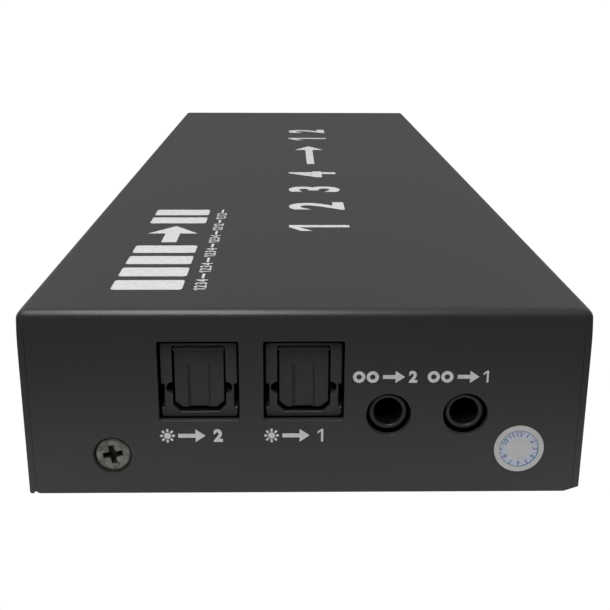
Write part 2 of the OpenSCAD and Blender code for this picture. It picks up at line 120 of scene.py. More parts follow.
def turned(pts, degrees, cx=0.0, cy=0.0):
    c, s = math.cos(math.radians(degrees)), math.sin(math.radians(degrees))
    return [(cx + (x - cx) * c - (y - cy) * s, cy + (x - cx) * s + (y - cy) * c) for x, y in pts]


# ---------------------------------------------------------------- solids


def put(axis, p, w):
    """A 2-D point at distance w along an axis."""
    return {"x": (w, p[0], p[1]), "y": (p[0], w, p[1]), "z": (p[0], p[1], w)}[axis]


def add(name, verts, faces):
    me = bpy.data.meshes.new(name)
    bm = bmesh.new()
    vs = [bm.verts.new(v) for v in verts]
    for f in faces:
        try:
            bm.faces.new([vs[i] for i in f])
        except ValueError:
            pass
    bmesh.ops.remove_doubles(bm, verts=bm.verts, dist=1e-4)
    bmesh.ops.dissolve_degenerate(bm, edges=bm.edges, dist=1e-5)
    bmesh.ops.recalc_face_normals(bm, faces=bm.faces)
    bm.to_mesh(me)
    bm.free()
    ob = bpy.data.objects.new(name, me)
    SCENE.collection.objects.link(ob)
    return ob


def loft(name, rings, closed=False):
    """A skin over rings of equal length. It is capped at both ends, or runs back into itself."""
    n = len(rings[0])
    verts = [v for r in rings for v in r]
    faces = []
    last = len(rings) if closed else len(rings) - 1
    for j in range(last):
        a, b = j * n, ((j + 1) % len(rings)) * n
        faces += [(a + i, a + (i + 1) % n, b + (i + 1) % n, b + i) for i in range(n)]
    if not closed:
        faces += [tuple(range(n))[::-1], tuple(range((len(rings) - 1) * n, len(rings) * n))]
    return add(name, verts, faces)


def prism(name, axis, outline, profile):
    """An outline run along an axis; profile is a list of (distance, growth)."""
    return loft(name, [[put(axis, p, w) for p in grow(outline, g)] for w, g in profile])


def tube(name, axis, outline, outer, inner):
    """A wall between two profiles of one outline."""
    rings = [[put(axis, p, w) for p in grow(outline, g)] for w, g in outer]
    rings += [[put(axis, p, w) for p in grow(outline, g)] for w, g in reversed(inner)]
    return loft(name, rings, closed=True)


def ends(w0, w1, r0=0.1, r1=0.1, n=3):
    """Profile of a solid whose two end edges are rounded."""
    s = 1 if w1 > w0 else -1
    out = [(w0 + s * r0 * (1 - math.cos(math.pi / 2 * i / n)), -r0 * (1 - math.sin(math.pi / 2 * i / n)))
           for i in range(n + 1)] if r0 > 0 else [(w0, 0.0)]
    out += [(w1 - s * r1 * (1 - math.sin(math.pi / 2 * i / n)), -r1 * (1 - math.cos(math.pi / 2 * i / n)))
            for i in range(n + 1)] if r1 > 0 else [(w1, 0.0)]
    return out


def hole(w0, w1, r0=0.12, over=0.5, r1=0.0, n=4):
    """Profile of a cutter that enters at w0 through an edge rounded by r0 and ends at w1."""
    s = 1 if w1 > w0 else -1
    out = [(w0 - s * over, r0 + 0.06 * over)]
    for i in range(n + 1):
        d = r0 * (1 - math.cos(math.pi / 2 * i / n))
        out.append((w0 + s * (r0 - r0 * math.cos(math.pi / 2 * i / n)), r0 * (1 - math.sin(math.pi / 2 * i / n))))
    if r1 > 0:
        out += [(w1 - s * r1 * (1 - math.sin(math.pi / 2 * i / n)), -r1 * (1 - math.cos(math.pi / 2 * i / n)))
                for i in range(n + 1)]
    else:
        out.append((w1, 0.0))
    return out


def brick(name, x0, x1, y0, y1, z0, z1, r=0.08, edge=0.08, axis="z"):
    """A rectangular block with all its edges rounded."""
    spans = {"x": ((y0, y1), (z0, z1), (x0, x1)), "y": ((x0, x1), (z0, z1), (y0, y1)),
             "z": ((x0, x1), (y0, y1), (z0, z1))}[axis]
    (u0, u1), (v0, v1), (w0, w1) = spans
    return prism(name, axis, rrect(u0, u1, v0, v1, r, 3), ends(w0, w1, edge, edge))


def merge(name, obs):
    """Several meshes as one."""
    bm = bmesh.new()
    for o in obs:
        bm.from_mesh(o.data)
    me = bpy.data.meshes.new(name)
    bm.to_mesh(me)
    bm.free()
    for o in obs:
        drop(o)
    ob = bpy.data.objects.new(name, me)
    SCENE.collection.objects.link(ob)
    return ob


def drop(ob):
    me = ob.data
    bpy.data.objects.remove(ob)
    if me.users == 0:
        bpy.data.meshes.remove(me)


def applied(ob):
    """Turns the object's modifiers into its mesh."""
    bpy.context.view_layer.update()
    dg = bpy.context.evaluated_depsgraph_get()
    me = bpy.data.meshes.new_from_object(ob.evaluated_get(dg), preserve_all_data_layers=True, depsgraph=dg)
    old = ob.data
    ob.modifiers.clear()
    ob.data = me
    if old.users == 0:
        bpy.data.meshes.remove(old)
    return ob


def boolean(ob, others, operation):
    other = others[0] if len(others) == 1 else merge("cutters", others)
    before = ob.data.copy()
    for solver in ("EXACT", "MANIFOLD", "FLOAT"):
        m = ob.modifiers.new("b", "BOOLEAN")
        m.operation, m.solver, m.object = operation, solver, other
        if solver == "EXACT":
            m.use_self = len(others) > 1
        applied(ob)
        if len(ob.data.polygons) > 5:
            break
        ob.data = before.copy()
    else:
        raise RuntimeError(f"empty boolean on {ob.name}")
    drop(other)
    bm = bmesh.new()
    bm.from_mesh(ob.data)
    bmesh.ops.remove_doubles(bm, verts=bm.verts, dist=2e-4)
    bmesh.ops.dissolve_degenerate(bm, edges=bm.edges, dist=1e-4)
    bm.to_mesh(ob.data)
    bm.free()
    return ob


def cut(ob, others):
    return boolean(ob, others, "DIFFERENCE")


def union(ob, others):
    for o in others:
        boolean(ob, [o], "UNION")
    return ob


def piece(ob, name, body, material, nodes=(), sharp=32, weighted=True, smooth=True):
    """Finishes a mesh: metres, shading, material, body, and the nodes that it stands for."""
    ob.name = name
    ob.data.name = name
    ob.data.transform(Matrix.Scale(MM, 4))
    if smooth:
        ob.data.shade_smooth()
        ob.data.set_sharp_from_angle(angle=math.radians(sharp))
        if weighted:
            m = ob.modifiers.new("w", "WEIGHTED_NORMAL")
            m.keep_sharp = True
            m.weight = 100
            m.mode = "FACE_AREA"
            applied(ob)
            ob.data.name = name
    ob.data.materials.clear()
    for m in material if isinstance(material, (list, tuple)) else [material]:
        ob.data.materials.append(m)
    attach(ob, body)
    if nodes:
        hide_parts(*nodes)
    return ob


# ---------------------------------------------------------------- materials


def link(nt, a, b):
    nt.links.new(a, b)


def shader(name):
    mat = bpy.data.materials.new(name)
    mat.use_nodes = True
    nt = mat.node_tree
    return mat, nt, nt.nodes["Principled BSDF"]


def noise(nt, coord, scale, detail=3.0, rough=0.5):
    n = nt.nodes.new("ShaderNodeTexNoise")
    n.inputs["Scale"].default_value = scale
    n.inputs["Detail"].default_value = detail
    n.inputs["Roughness"].default_value = rough
    link(nt, coord, n.inputs["Vector"])
    return n.outputs["Fac"]


def ranged(nt, value, lo, hi, a=0.3, b=0.7):
    n = nt.nodes.new("ShaderNodeMapRange")
    n.inputs["From Min"].default_value, n.inputs["From Max"].default_value = a, b
    n.inputs["To Min"].default_value, n.inputs["To Max"].default_value = lo, hi
    link(nt, value, n.inputs["Value"])
    return n.outputs["Result"]


def mixed(nt, fac, a, b):
    n = nt.nodes.new("ShaderNodeMix")
    n.data_type = "RGBA"
    if isinstance(fac, float):
        n.inputs[0].default_value = fac
    else:
        link(nt, fac, n.inputs[0])
    for k, c in ((6, a), (7, b)):
        if isinstance(c, tuple):
            n.inputs[k].default_value = (*c, 1)
        else:
            link(nt, c, n.inputs[k])
    return n.outputs[2]


def math_node(nt, op, a, b):
    n = nt.nodes.new("ShaderNodeMath")
    n.operation = op
    for k, v in ((0, a), (1, b)):
        if isinstance(v, (int, float)):
            n.inputs[k].default_value = v
        else:
            link(nt, v, n.inputs[k])
    return n.outputs[0]


def bumped(nt, bsdf, height, distance, strength=1.0):
    n = nt.nodes.new("ShaderNodeBump")
    n.inputs["Strength"].default_value = strength
    n.inputs["Distance"].default_value = distance * MM
    link(nt, height, n.inputs["Height"])
    link(nt, n.outputs["Normal"], bsdf.inputs["Normal"])


def coords(nt):
    return nt.nodes.new("ShaderNodeTexCoord").outputs["Object"]


def surface(name, base, rough, metal=0.0, spec=0.5, var=0.18, size=3.0, tint=None, rough_var=0.06,
            bump=0.004, grain=0.25, **more):
    """A material whose colour, roughness and bump vary; size and grain are in millimetres."""
    mat, nt, b = shader(name)
    co = coords(nt)
    big = noise(nt, co, 1000.0 / size, 4.0)
    fine = noise(nt, co, 1000.0 / grain, 2.0, 0.6)
    low = tuple(c * (1 - var) for c in base)
    high = tuple(min(1.0, c * (1 + var)) for c in (tint or base))
    link(nt, mixed(nt, ranged(nt, big, 0.0, 1.0), low, high), b.inputs["Base Color"])
    link(nt, ranged(nt, fine, rough - rough_var, rough + rough_var), b.inputs["Roughness"])
    b.inputs["Metallic"].default_value = metal
    b.inputs["Specular IOR Level"].default_value = spec
    for k, v in more.items():
        b.inputs[k.replace("_", " ")].default_value = v
    if bump:
        bumped(nt, b, fine, bump)
    return mat


def powder_coat(name, base, top_light_colour, rough, spec, skin, skin_rough, dust_part=0.16):
    """Fine-grained baked powder paint over steel: a dull body under a thin satin skin, with a little dust; faces that
    look up are painted lighter and warmer, a painted top light.
    """
    mat, nt, b = shader(name)
    co = coords(nt)
    cloud = noise(nt, co, 42.0, 3.0)
    grain = noise(nt, co, 3600.0, 2.0, 0.6)
    peel = noise(nt, co, 1300.0, 1.5)
    # painted top light: the faces that look up are painted lighter and warmer than the sides
    geo = nt.nodes.new("ShaderNodeNewGeometry")
    up = nt.nodes.new("ShaderNodeSeparateXYZ")
    link(nt, geo.outputs["Normal"], up.inputs[0])
    top_light_mask = ranged(nt, up.outputs["Z"], 0.0, 1.0, 0.80, 0.99)
    mottled = mixed(nt, ranged(nt, cloud, 0.0, 1.0), base, tuple(c * 1.08 for c in base))
    colour = mixed(nt, top_light_mask, mottled, top_light_colour)
    fleck = mixed(nt, ranged(nt, grain, 0.0, 0.35, 0.5, 0.8), colour, tuple(c * 1.8 for c in top_light_colour))
    if dust_part:
        v = nt.nodes.new("ShaderNodeTexVoronoi")
        v.inputs["Scale"].default_value = 420.0
        link(nt, co, v.inputs["Vector"])
        sep = nt.nodes.new("ShaderNodeSeparateColor")
        link(nt, v.outputs["Color"], sep.inputs[0])
        near = math_node(nt, "LESS_THAN", v.outputs["Distance"], 0.04)
        some = math_node(nt, "GREATER_THAN", sep.outputs[0], 0.84)
        dust = math_node(nt, "MULTIPLY", near, some)
        fleck = mixed(nt, math_node(nt, "MULTIPLY", dust, dust_part), fleck, (0.28, 0.27, 0.26))
    link(nt, fleck, b.inputs["Base Color"])
    link(nt, ranged(nt, grain, rough - 0.06, rough + 0.08), b.inputs["Roughness"])
    b.inputs["Specular IOR Level"].default_value = spec
    b.inputs["Coat Weight"].default_value = skin
    b.inputs["Coat Roughness"].default_value = skin_rough
    b.inputs["Coat IOR"].default_value = 1.5
    height = math_node(nt, "ADD", math_node(nt, "MULTIPLY", grain, 0.5), math_node(nt, "MULTIPLY", peel, 0.5))
    bumped(nt, b, height, 0.016)
    link(nt, b.inputs["Normal"].links[0].from_socket, b.inputs["Coat Normal"])
    return mat


M = {}
# the second colour of each powder coat is its painted top light
M["powder_coat"] = powder_coat("powder_coat", (0.0292, 0.0292, 0.0292), (0.0342, 0.0314, 0.0296), 0.62, 0.10, 0.50, 0.30)
# painted shade for the countersinks round the screws
M["hole_edge"] = surface("countersink_painted_shade", (0.014, 0.014, 0.013), 0.75, spec=0.1, var=0.15, size=1.0, bump=0.004, grain=0.2)
M["base_coat"] = powder_coat("base_coat", (0.030, 0.030, 0.0295), (0.036, 0.0355, 0.035), 0.6, 0.2, 0.45, 0.36, 0.0)
M["print"] = surface("print_ink", (0.60, 0.605, 0.60), 0.55, spec=0.3, var=0.09, size=0.9, bump=0.003, grain=0.2)
M["label"] = surface("label_ink", (0.64, 0.64, 0.64), 0.6, spec=0.3, var=0.10, size=0.5, bump=0.003, grain=0.2)
M["socket"] = surface("socket_plastic", (0.035, 0.035, 0.035), 0.46, spec=0.35, var=0.12, size=2.0, bump=0.003, grain=0.18)
# painted shade for the insides of the optical sockets and jack bores
M["socket_inside"] = surface("socket_cavity_painted_shade", (0.008, 0.008, 0.008), 0.7, spec=0.1, var=0.12, size=2.0, bump=0.003, grain=0.18)
M["shutter"] = surface("shutter_plastic", (0.033, 0.033, 0.033), 0.44, spec=0.35, var=0.12, size=1.5, bump=0.003, grain=0.2)
M["jack"] = surface("jack_plastic", (0.028, 0.028, 0.0285), 0.38, spec=0.4, var=0.12, size=1.5, bump=0.002, grain=0.2)
M["screw"] = surface("screw_steel", (0.125, 0.122, 0.104), 0.46, metal=0.85, var=0.28, size=0.7, rough_var=0.12,
                     tint=(0.20, 0.195, 0.175), bump=0.012, grain=0.16)
# painted shade for the cross recesses of the screws
M["recess"] = surface("recess_painted_shade", (0.02, 0.019, 0.015), 0.6, metal=0.3, var=0.3, size=0.4, bump=0.006, grain=0.12)
M["paper"] = surface("seal_paper", (0.50, 0.505, 0.50), 0.62, spec=0.35, var=0.05, size=1.6, bump=0.004, grain=0.14,
                     tint=(0.52, 0.51, 0.50))
M["ink_wash"] = surface("seal_wash", (0.50, 0.56, 0.62), 0.6, var=0.10, size=0.6, tint=(0.48, 0.50, 0.60), bump=0.0)
M["ink_blue"] = surface("seal_ink", (0.09, 0.17, 0.34), 0.6, var=0.25, size=0.5, tint=(0.14, 0.23, 0.31), bump=0.0)
M["ink_grey"] = surface("seal_ink_pale", (0.20, 0.22, 0.38), 0.6, var=0.3, size=0.4, tint=(0.2, 0.19, 0.3), bump=0.0)
M["rubber"] = surface("foot_rubber", (0.012, 0.012, 0.012), 0.72, spec=0.25, var=0.2, size=1.2, bump=0.01, grain=0.3)
M["steel"] = surface("port_steel", (0.55, 0.55, 0.56), 0.30, metal=1.0, var=0.1, size=2.0, rough_var=0.07, bump=0.002, grain=0.2)
M["gold"] = surface("contact_gold", (0.72, 0.50, 0.18), 0.28, metal=1.0, var=0.12, size=0.8, bump=0.001, grain=0.15)
M["black"] = surface("black_nylon", (0.014, 0.014, 0.014), 0.5, spec=0.4, var=0.15, size=1.0, bump=0.004, grain=0.2)
M["button"] = surface("button_plastic", (0.011, 0.011, 0.0115), 0.36, spec=0.5, var=0.12, size=1.0, bump=0.003, grain=0.25)
M["white"] = surface("switch_white", (0.62, 0.61, 0.57), 0.45, var=0.06, size=2.0, bump=0.003, grain=0.25)
M["switch_metal"] = surface("switch_metal", (0.45, 0.45, 0.46), 0.35, metal=1.0, var=0.1, size=1.5, bump=0.002, grain=0.2)
M["brass"] = surface("brass", (0.58, 0.42, 0.17), 0.34, metal=1.0, var=0.12, size=1.5, bump=0.003, grain=0.2)
M["zinc"] = surface("zinc_steel", (0.5, 0.5, 0.48), 0.36, metal=1.0, var=0.15, size=0.8, bump=0.004, grain=0.2)
M["spring"] = surface("spring_steel", (0.42, 0.42, 0.42), 0.3, metal=1.0, var=0.1, size=0.5, bump=0.001, grain=0.1)
M["chip"] = surface("chip_epoxy", (0.018, 0.018, 0.018), 0.55, spec=0.4, var=0.15, size=1.0, bump=0.006, grain=0.15)
M["pad"] = surface("thermal_pad", (0.33, 0.36, 0.44), 0.75, var=0.08, size=1.0, bump=0.01, grain=0.3)
M["aluminium"] = surface("heat_sink_metal", (0.60, 0.61, 0.63), 0.34, metal=1.0, var=0.06, size=4.0, bump=0.003, grain=0.3)
M["can"] = surface("can_metal", (0.60, 0.60, 0.61), 0.26, metal=1.0, var=0.06, size=2.0, bump=0.002, grain=0.25)
M["ferrite"] = surface("ferrite", (0.035, 0.035, 0.036), 0.6, var=0.2, size=1.0, bump=0.01, grain=0.2)
M["emitter"] = surface("emitter_epoxy", (0.02, 0.019, 0.02), 0.32, var=0.15, size=0.8, bump=0.002, grain=0.2)
M["ir"] = surface("infrared_window", (0.012, 0.003, 0.004), 0.12, spec=0.6, var=0.15, size=1.0, bump=0.0)
M["lamp"] = surface("lamp_epoxy", (0.80, 0.84, 0.86), 0.12, var=0.04, size=1.5, bump=0.0, rough_var=0.03,
                    Transmission_Weight=0.75, IOR=1.5)
M["lamp_red"] = surface("lamp_red_epoxy", (0.55, 0.03, 0.02), 0.14, var=0.08, size=1.5, bump=0.0, rough_var=0.03,
                        Transmission_Weight=0.5, IOR=1.5)


def board_material():
    """Black solder mask with faint copper runs under it."""
    mat, nt, b = shader("circuit_board")
    co = coords(nt)
    br = nt.nodes.new("ShaderNodeTexBrick")
    br.inputs["Scale"].default_value = 160.0
    br.inputs["Mortar Size"].default_value = 0.06
    link(nt, co, br.inputs["Vector"])
    br.inputs["Color1"].default_value = (0.0045, 0.005, 0.0048, 1)
    br.inputs["Color2"].default_value = (0.0055, 0.006, 0.0058, 1)
    br.inputs["Mortar"].default_value = (0.012, 0.0135, 0.012, 1)
    patchy = noise(nt, co, 120.0, 3.0)
    link(nt, mixed(nt, ranged(nt, patchy, 0.0, 0.5), br.outputs["Color"], (0.0035, 0.004, 0.0038)), b.inputs["Base Color"])
    link(nt, ranged(nt, patchy, 0.30, 0.42), b.inputs["Roughness"])
    b.inputs["Specular IOR Level"].default_value = 0.25
    bumped(nt, b, br.outputs["Fac"], 0.02)
    return mat


M["board"] = board_material()

# ---------------------------------------------------------------- sizes
XO, YO, ZT, Z0 = 35.0, 105.0, 26.0, 1.5
XI, YI = 34.2, 104.2
LID_TOP = ZT - 0.03
PCB = 11.6
HINGE_Z = PCB + 8.95
OPT_X = (-0.22, -13.2)
OPT_Y = -104.0
JACK_X = (19.95, 10.35)
JACK_Z = 12.25
SCREW_Z = 6.84
SCREWS = ((-24.24, -1, 8.5), (26.6, -1, 31.0), (-24.5, 1, 63.0), (24.5, 1, -20.0))
CTL_Z = 15.1
SELECT_Y = (-46, 14)
LAMP_Y = (-34, -26, -18, -10, 26, 34, 42, 50)
IN_Y = (64, 40, 16, -8)
OUT_Y = (-38, -62)
PORT_X, PORT_Z = -34.0, 12.2


# ---------------------------------------------------------------- the lid
def lid_ring(hx, hy, z, rho, core, p, k=9):
    """One level of the folded skin; p is how square the upright corner is."""
    cx, cy, pts = hx - core, hy - core, []
    for q, (sx, sy) in enumerate(((1, 1), (-1, 1), (-1, -1), (1, -1))):
        for i in range(k + 1):
            t = math.pi / 2 * i / k
            a = rho * abs(math.cos(t)) ** (2 / p)
            b = rho * abs(math.sin(t)) ** (2 / p)
            dx, dy = (a, b) if q % 2 == 0 else (b, a)
            pts.append((sx * (cx + dx), sy * (cy + dy), z))
    return pts


def build_lid():
    r, ri = 1.2, 0.4
    rings = []
    for i in range(9):
        f = math.pi / 2 * (1 - i / 8)
        rings.append(lid_ring(XO, YO, LID_TOP - r + r * math.sin(f), r * math.cos(f), r, 2.9 + 1.2 * i / 8))
    for dz, p in ((0.5, 5.0), (1.1, 7.0), (2.0, 11.0), (3.5, 18.0), (6.0, 22.0), (23.1, 22.0)):
        rings.append(lid_ring(XO, YO, LID_TOP - r - dz if dz < 20 else Z0 + 0.16, r, r, p))
    rings += [lid_ring(XO, YO, Z0 + 0.16 - 0.16 * math.sin(a), r - 0.16 * (1 - math.cos(a)), r, 22.0)
              for a in (0.5, 1.0, math.pi / 2)]
    rings += [lid_ring(XI, YI, Z0, ri + 0.1, ri, 22.0), lid_ring(XI, YI, Z0 + 0.1, ri, ri, 22.0)]
    for i in range(5):
        f = math.pi / 2 * i / 4
        rings.append(lid_ring(XI, YI, LID_TOP - 0.8 - ri + ri * math.sin(f), ri * math.cos(f), ri, 22.0))
    lid = loft("lid", rings)
    cutters = []
    # seams beside the end flaps, opened a little at the face
    for sx in (-1, 1):
        for sy in (-1, 1):
            xs = sx * (XI - 0.06)
            pts = [(xs - 0.012, Z0 - 1), (xs + 0.012, Z0 - 1), (xs + 0.012, ZT - 2.75), (xs - 0.012, ZT - 2.75)]
            cutters.append(prism("seam", "y", pts, [(sy * (YO + 0.3), 0.012), (sy * YO, 0.008), (sy * (YO - 0.03), 0.0),
                                                   (sy * (YI - 0.3), 0.0)]))
    # worn-down lower corners
    for sy in (-1, 1):
        nick = [(-34.62, Z0 - 0.3), (-33.5, Z0 - 0.3), (-33.85, Z0 + 0.12), (-34.2, Z0 + 0.34), (-34.34, Z0 + 0.3)]
        cutters.append(prism("nick", "y", nick, [(sy * (YO + 0.3), 0.0), (sy * (YI - 0.3), 0.0)]))
        for (sx, a, h, b) in ((1, 2.1, 0.75, 2.4), (-1, 0.3, 0.28, 0.5)):
            x, y = sx * (XO + 0.02), sy * (YO + 0.02)
            low = Z0 - 0.4
            k = (h + 0.4) / h
            tip, p1, p2, p3 = (x, y, low), (x - sx * a * k, y, low), (x, y, low + h * k), (x, y - sy * b * k, low)
            out = (sx * 0.6, sy * 0.6)
            verts = [(x + out[0], y + out[1], low), (x - sx * a * k, y + out[1], low), (x + out[0], y - sy * b * k, low),
                     (x + out[0], y + out[1], low + h * k), p1, p2, p3, (x + out[0], y, low + h * k), (x, y + out[1], low + h * k)]
            cutters.append(add_hull("corner", verts))
    # audio end
    for x in OPT_X:
        cutters.append(prism("c", "y", rrect(x - 5.0, x + 5.0, 11.55, 21.95, 0.28), hole(-YO, -YI + 0.4, 0.06)))
    for x in JACK_X:
        cutters.append(prism("c", "y", circle(x, JACK_Z, 2.8), hole(-YO, -YI + 0.4, 0.07)))
    for x, s, a in SCREWS:
        y = s * YO
        cutters.append(prism("c", "y", circle(x, SCREW_Z, 1.3),
                             [(y + s * 0.3, 1.33), (y, 1.21), (y - s * 0.06, 1.12), (y - s * 0.16, 1.03), (y - s * 0.85, 0.34),
                              (y - s * 1.2, 0.34)]))
    # video side
    for y in IN_Y + OUT_Y:
        cutters.append(prism("c", "x", rrect(y - 7.9, y + 7.9, 11.5, 17.45, 0.7), hole(-XO, -XI + 0.4, 0.13)))
    cutters.append(prism("c", "x", circle(88, 18.1, 4.2), hole(-XO, -XI + 0.4, 0.13)))
    # control side
    for y, rr in [(-84, 3.0), (-46, 2.0), (14, 2.0), (88, 2.8), (-72, 1.6)] + [(y, 1.6) for y in LAMP_Y]:
        cutters.append(prism("c", "x", circle(y, CTL_Z, rr, 48), hole(XO, XI - 0.4, 0.12)))
    cutters.append(prism("c", "x", rrect(65.4, 70.6, 12.5, 14.7, 0.35), hole(XO, XI - 0.4, 0.12)))
    cut(lid, cutters)
    piece(lid, "folded_lid", "case", [M["powder_coat"], M["hole_edge"]], ["top_cover", "audio_end_flap"], sharp=38)
    # painted shade: the countersinks get a darker, duller coat
    for p in lid.data.polygons:
        c = p.center / MM
        for x, s, a in SCREWS:
            if c.y * s > YI - 0.3 and math.hypot(c.x - x, c.z - SCREW_Z) < 2.46 and YO - abs(c.y) > 0.02:
                p.material_index = 1
    return lid


def add_hull(name, verts):
    bm = bmesh.new()
    for v in verts:
        bm.verts.new(v)
    res = bmesh.ops.convex_hull(bm, input=bm.verts)
    loose = [g for g in res["geom_interior"] if isinstance(g, bmesh.types.BMVert)]
    if loose:
        bmesh.ops.delete(bm, geom=loose, context="VERTS")
    bmesh.ops.dissolve_limit(bm, angle_limit=0.01, verts=bm.verts, edges=bm.edges)
    bmesh.ops.recalc_face_normals(bm, faces=bm.faces)
    me = bpy.data.meshes.new(name)
    bm.to_mesh(me)
    bm.free()
    ob = bpy.data.objects.new(name, me)
    SCENE.collection.objects.link(ob)
    return ob


build_lid()


# ---------------------------------------------------------------- base plate
def build_base():
    base = prism("base", "z", rrect(-34.1, 34.1, -104.1, 104.1, 0.5), ends(1.5, 2.5, 0.1, 0.1))
    tabs = []
    for x, s, a in SCREWS:
        tabs.append(prism("t", "y", fillet([(x - 4, 1.6), (x + 4, 1.6), (x + 4, 9.8), (x - 4, 9.8)], [0, 0, 0.9, 0.9]),
                          ends(s * 104.1, s * 103.1, 0.08, 0.08)))
    union(base, tabs)
    cutters = [prism("c", "z", fillet([(-9.25, y - 1.25), (9.25, y - 1.25), (9.25, y + 1.25), (-9.25, y + 1.25)], 1.24, 8),
                     [(1.2, 0.12), (1.5, 0.1), (1.6, 0.0), (2.4, 0.0), (2.5, 0.1), (2.8, 0.12)]) for y in range(-32, 33, 8)]
    for x, s, a in SCREWS:
        cutters.append(prism("c", "y", circle(x, SCREW_Z, 1.28, 48), [(s * 104.4, 0.3), (s * 104.1, 0.25), (s * 103.7, 0.0), (s * 102.8, 0.0)]))
    for x, y in ((-29, -84), (-29, 4), (-29, 77.5), (24, -78), (24, 4), (24, 80)):
        cutters.append(prism("c", "z", circle(x, y, 1.65, 32), [(1.2, 0.0), (2.8, 0.0)]))
    cut(base, cutters)
    piece(base, "bottom_plate", "case", M["base_coat"], ["base_plate"])


build_base()


# ---------------------------------------------------------------- feet
for i, (x, y) in enumerate(((-27, -94), (27, -94), (-27, 94), (27, 94))):
    foot = prism("foot", "z", circle(x, y, 4.5), [(0.0, -0.55), (0.03, -0.4), (0.16, -0.2), (0.4, -0.1), (1.3, 0.0), (1.5, 0.0)])
    cut(foot, [prism("c", "z", circle(x, y, 1.1, 40), [(-0.3, 0.25), (0.0, 0.2), (0.12, 0.0), (0.55, -0.1)])])
    piece(foot, f"rubber_foot_{i + 1}", "case", M["rubber"], [f"foot_{i + 1}"])


# ---------------------------------------------------------------- case screws
def cross(x, z, arm, half, deg, web=0.2):
    """Outline of a cross recess whose inner corners are filled."""
    pts = []
    for q in range(4):
        pts += turned([(arm, -half), (arm, half), (half + web, half), (half, half + web)], 90 * q)
    return turned([(x + u, z + v) for u, v in pts], deg, x, z)


def build_screws():
    obs, dark = [], []
    for x, s, deg in SCREWS:
        y = s * YO
        d = lambda v: y - s * v
        head = prism("s", "y", circle(x, SCREW_Z, 2.2, 72),
                     [(d(0.25), -1.5), (d(0.26), -0.8), (d(0.285), -0.35), (d(0.33), -0.1), (d(0.40), -0.015), (d(0.50), -0.03),
                      (d(1.2), -0.95), (d(1.6), -0.95), (d(5.2), -0.97), (d(5.5), -1.3)])
        # cross recess in the head
        rec = cross(x, SCREW_Z, 1.24, 0.34, deg if s < 0 else -deg)
        cutter = prism("c", "y", rec, [(d(-0.1), 0.06), (d(0.24), 0.03), (d(0.34), 0.0), (d(0.9), -0.06), (d(1.35), -0.14)])
        cut(head, [cutter])
        obs.append(head)
    screws = merge("screws", obs)
    # painted shade: the recess is dark, on the faces that look inwards below the crown
    screws.data.materials.append(M["screw"])
    screws.data.materials.append(M["recess"])
    piece(screws, "countersunk_screws", "case", [M["screw"], M["recess"]], ["case_screws"], sharp=40)
    for p in screws.data.polygons:
        c = p.center / MM
        depth = YO - abs(c.y)
        for x, s, deg in SCREWS:
            if c.y * s > 0 and math.hypot(c.x - x, c.z - SCREW_Z) < 1.3 and 0.3 < depth < 1.7:
                if depth > 0.42 and math.hypot(c.x - x, c.z - SCREW_Z) < 1.24:
                    p.material_index = 1
    return screws


build_screws()


# ---------------------------------------------------------------- printing


def glyphs(text, height, weight=0.0, spacing=1.0):
    """Plain numerals as a flat mesh of that height, from the origin. Returns (vertices, faces, width)."""
    cu = bpy.data.curves.new("t", "FONT")
    cu.body = text
    cu.resolution_u = 6
    cu.space_character = spacing
    cu.offset = weight
    ob = bpy.data.objects.new("t", cu)
    SCENE.collection.objects.link(ob)
    bpy.context.view_layer.update()
    dg = bpy.context.evaluated_depsgraph_get()
    me = bpy.data.meshes.new_from_object(ob.evaluated_get(dg), depsgraph=dg)
    xs = [v.co.x for v in me.vertices]
    ys = [v.co.y for v in me.vertices]
    k = height / (max(ys) - min(ys))
    verts = [((v.co.x - min(xs)) * k, (v.co.y - min(ys)) * k) for v in me.vertices]
    faces = [tuple(p.vertices) for p in me.polygons]
    width = (max(xs) - min(xs)) * k
    bpy.data.objects.remove(ob)
    bpy.data.curves.remove(cu)
    bpy.data.meshes.remove(me)
    return verts, faces, width


def one(height, k=0.155):
    """A plain figure one with a flag."""
    a, st, h = 0.26 * height, k * height, height
    pts = [(a, 0.0), (a + st, 0.0), (a + st, h), (a + 0.1 * st, h), (0.0, 0.80 * h), (0.0, 0.80 * h - 1.15 * st),
           (a, h - 1.05 * st)]
    return pts, [tuple(range(len(pts)))], a + st


def figure(t, height, weight=0.0):
    return one(height) if t == "1" else glyphs(t, height, weight)


def flat(verts, faces, place, top, bottom):
    """A flat 2-D mesh stood up as a thin layer between two distances."""
    bm = bmesh.new()
    vs = [bm.verts.new((x, y, 0)) for x, y in verts]
    for f in faces:
        try:
            bm.faces.new([vs[i] for i in f])
        except ValueError:
            pass
    bmesh.ops.remove_doubles(bm, verts=bm.verts, dist=1e-5)
    geom = bmesh.ops.extrude_face_region(bm, geom=bm.faces[:])["geom"]
    for g in geom:
        if isinstance(g, bmesh.types.BMVert):
            g.co.z = 1.0
    for v in bm.verts:
        v.co = Vector(place(v.co.x, v.co.y, bottom + (top - bottom) * v.co.z))
    bmesh.ops.recalc_face_normals(bm, faces=bm.faces)
    me = bpy.data.meshes.new("print")
    bm.to_mesh(me)
    bm.free()
    ob = bpy.data.objects.new("print", me)
    SCENE.collection.objects.link(ob)
    return ob


def patch(outline, place, top, bottom):
    return flat(outline, [tuple(range(len(outline)))], place, top, bottom)


def ring_patch(outline, inner, place, top, bottom):
    """A closed band between two outlines of equal length; inner may be the band's width."""
    if isinstance(inner, float):
        inner = grow(outline, -inner)
    n = len(outline)
    faces = [(i, (i + 1) % n, n + (i + 1) % n, n + i) for i in range(n)]
    return flat(list(outline) + list(inner), faces, place, top, bottom)


def moved(pts, dx, dy):
    return [(x + dx, y + dy) for x, y in pts]


def arrow(x0, x1, y, stroke, head, barb):
    return [(x0, y - stroke / 2), (x1 - head, y - stroke / 2), (x1 - head, y - barb), (x1, y), (x1 - head, y + barb),
            (x1 - head, y + stroke / 2), (x0, y + stroke / 2)]


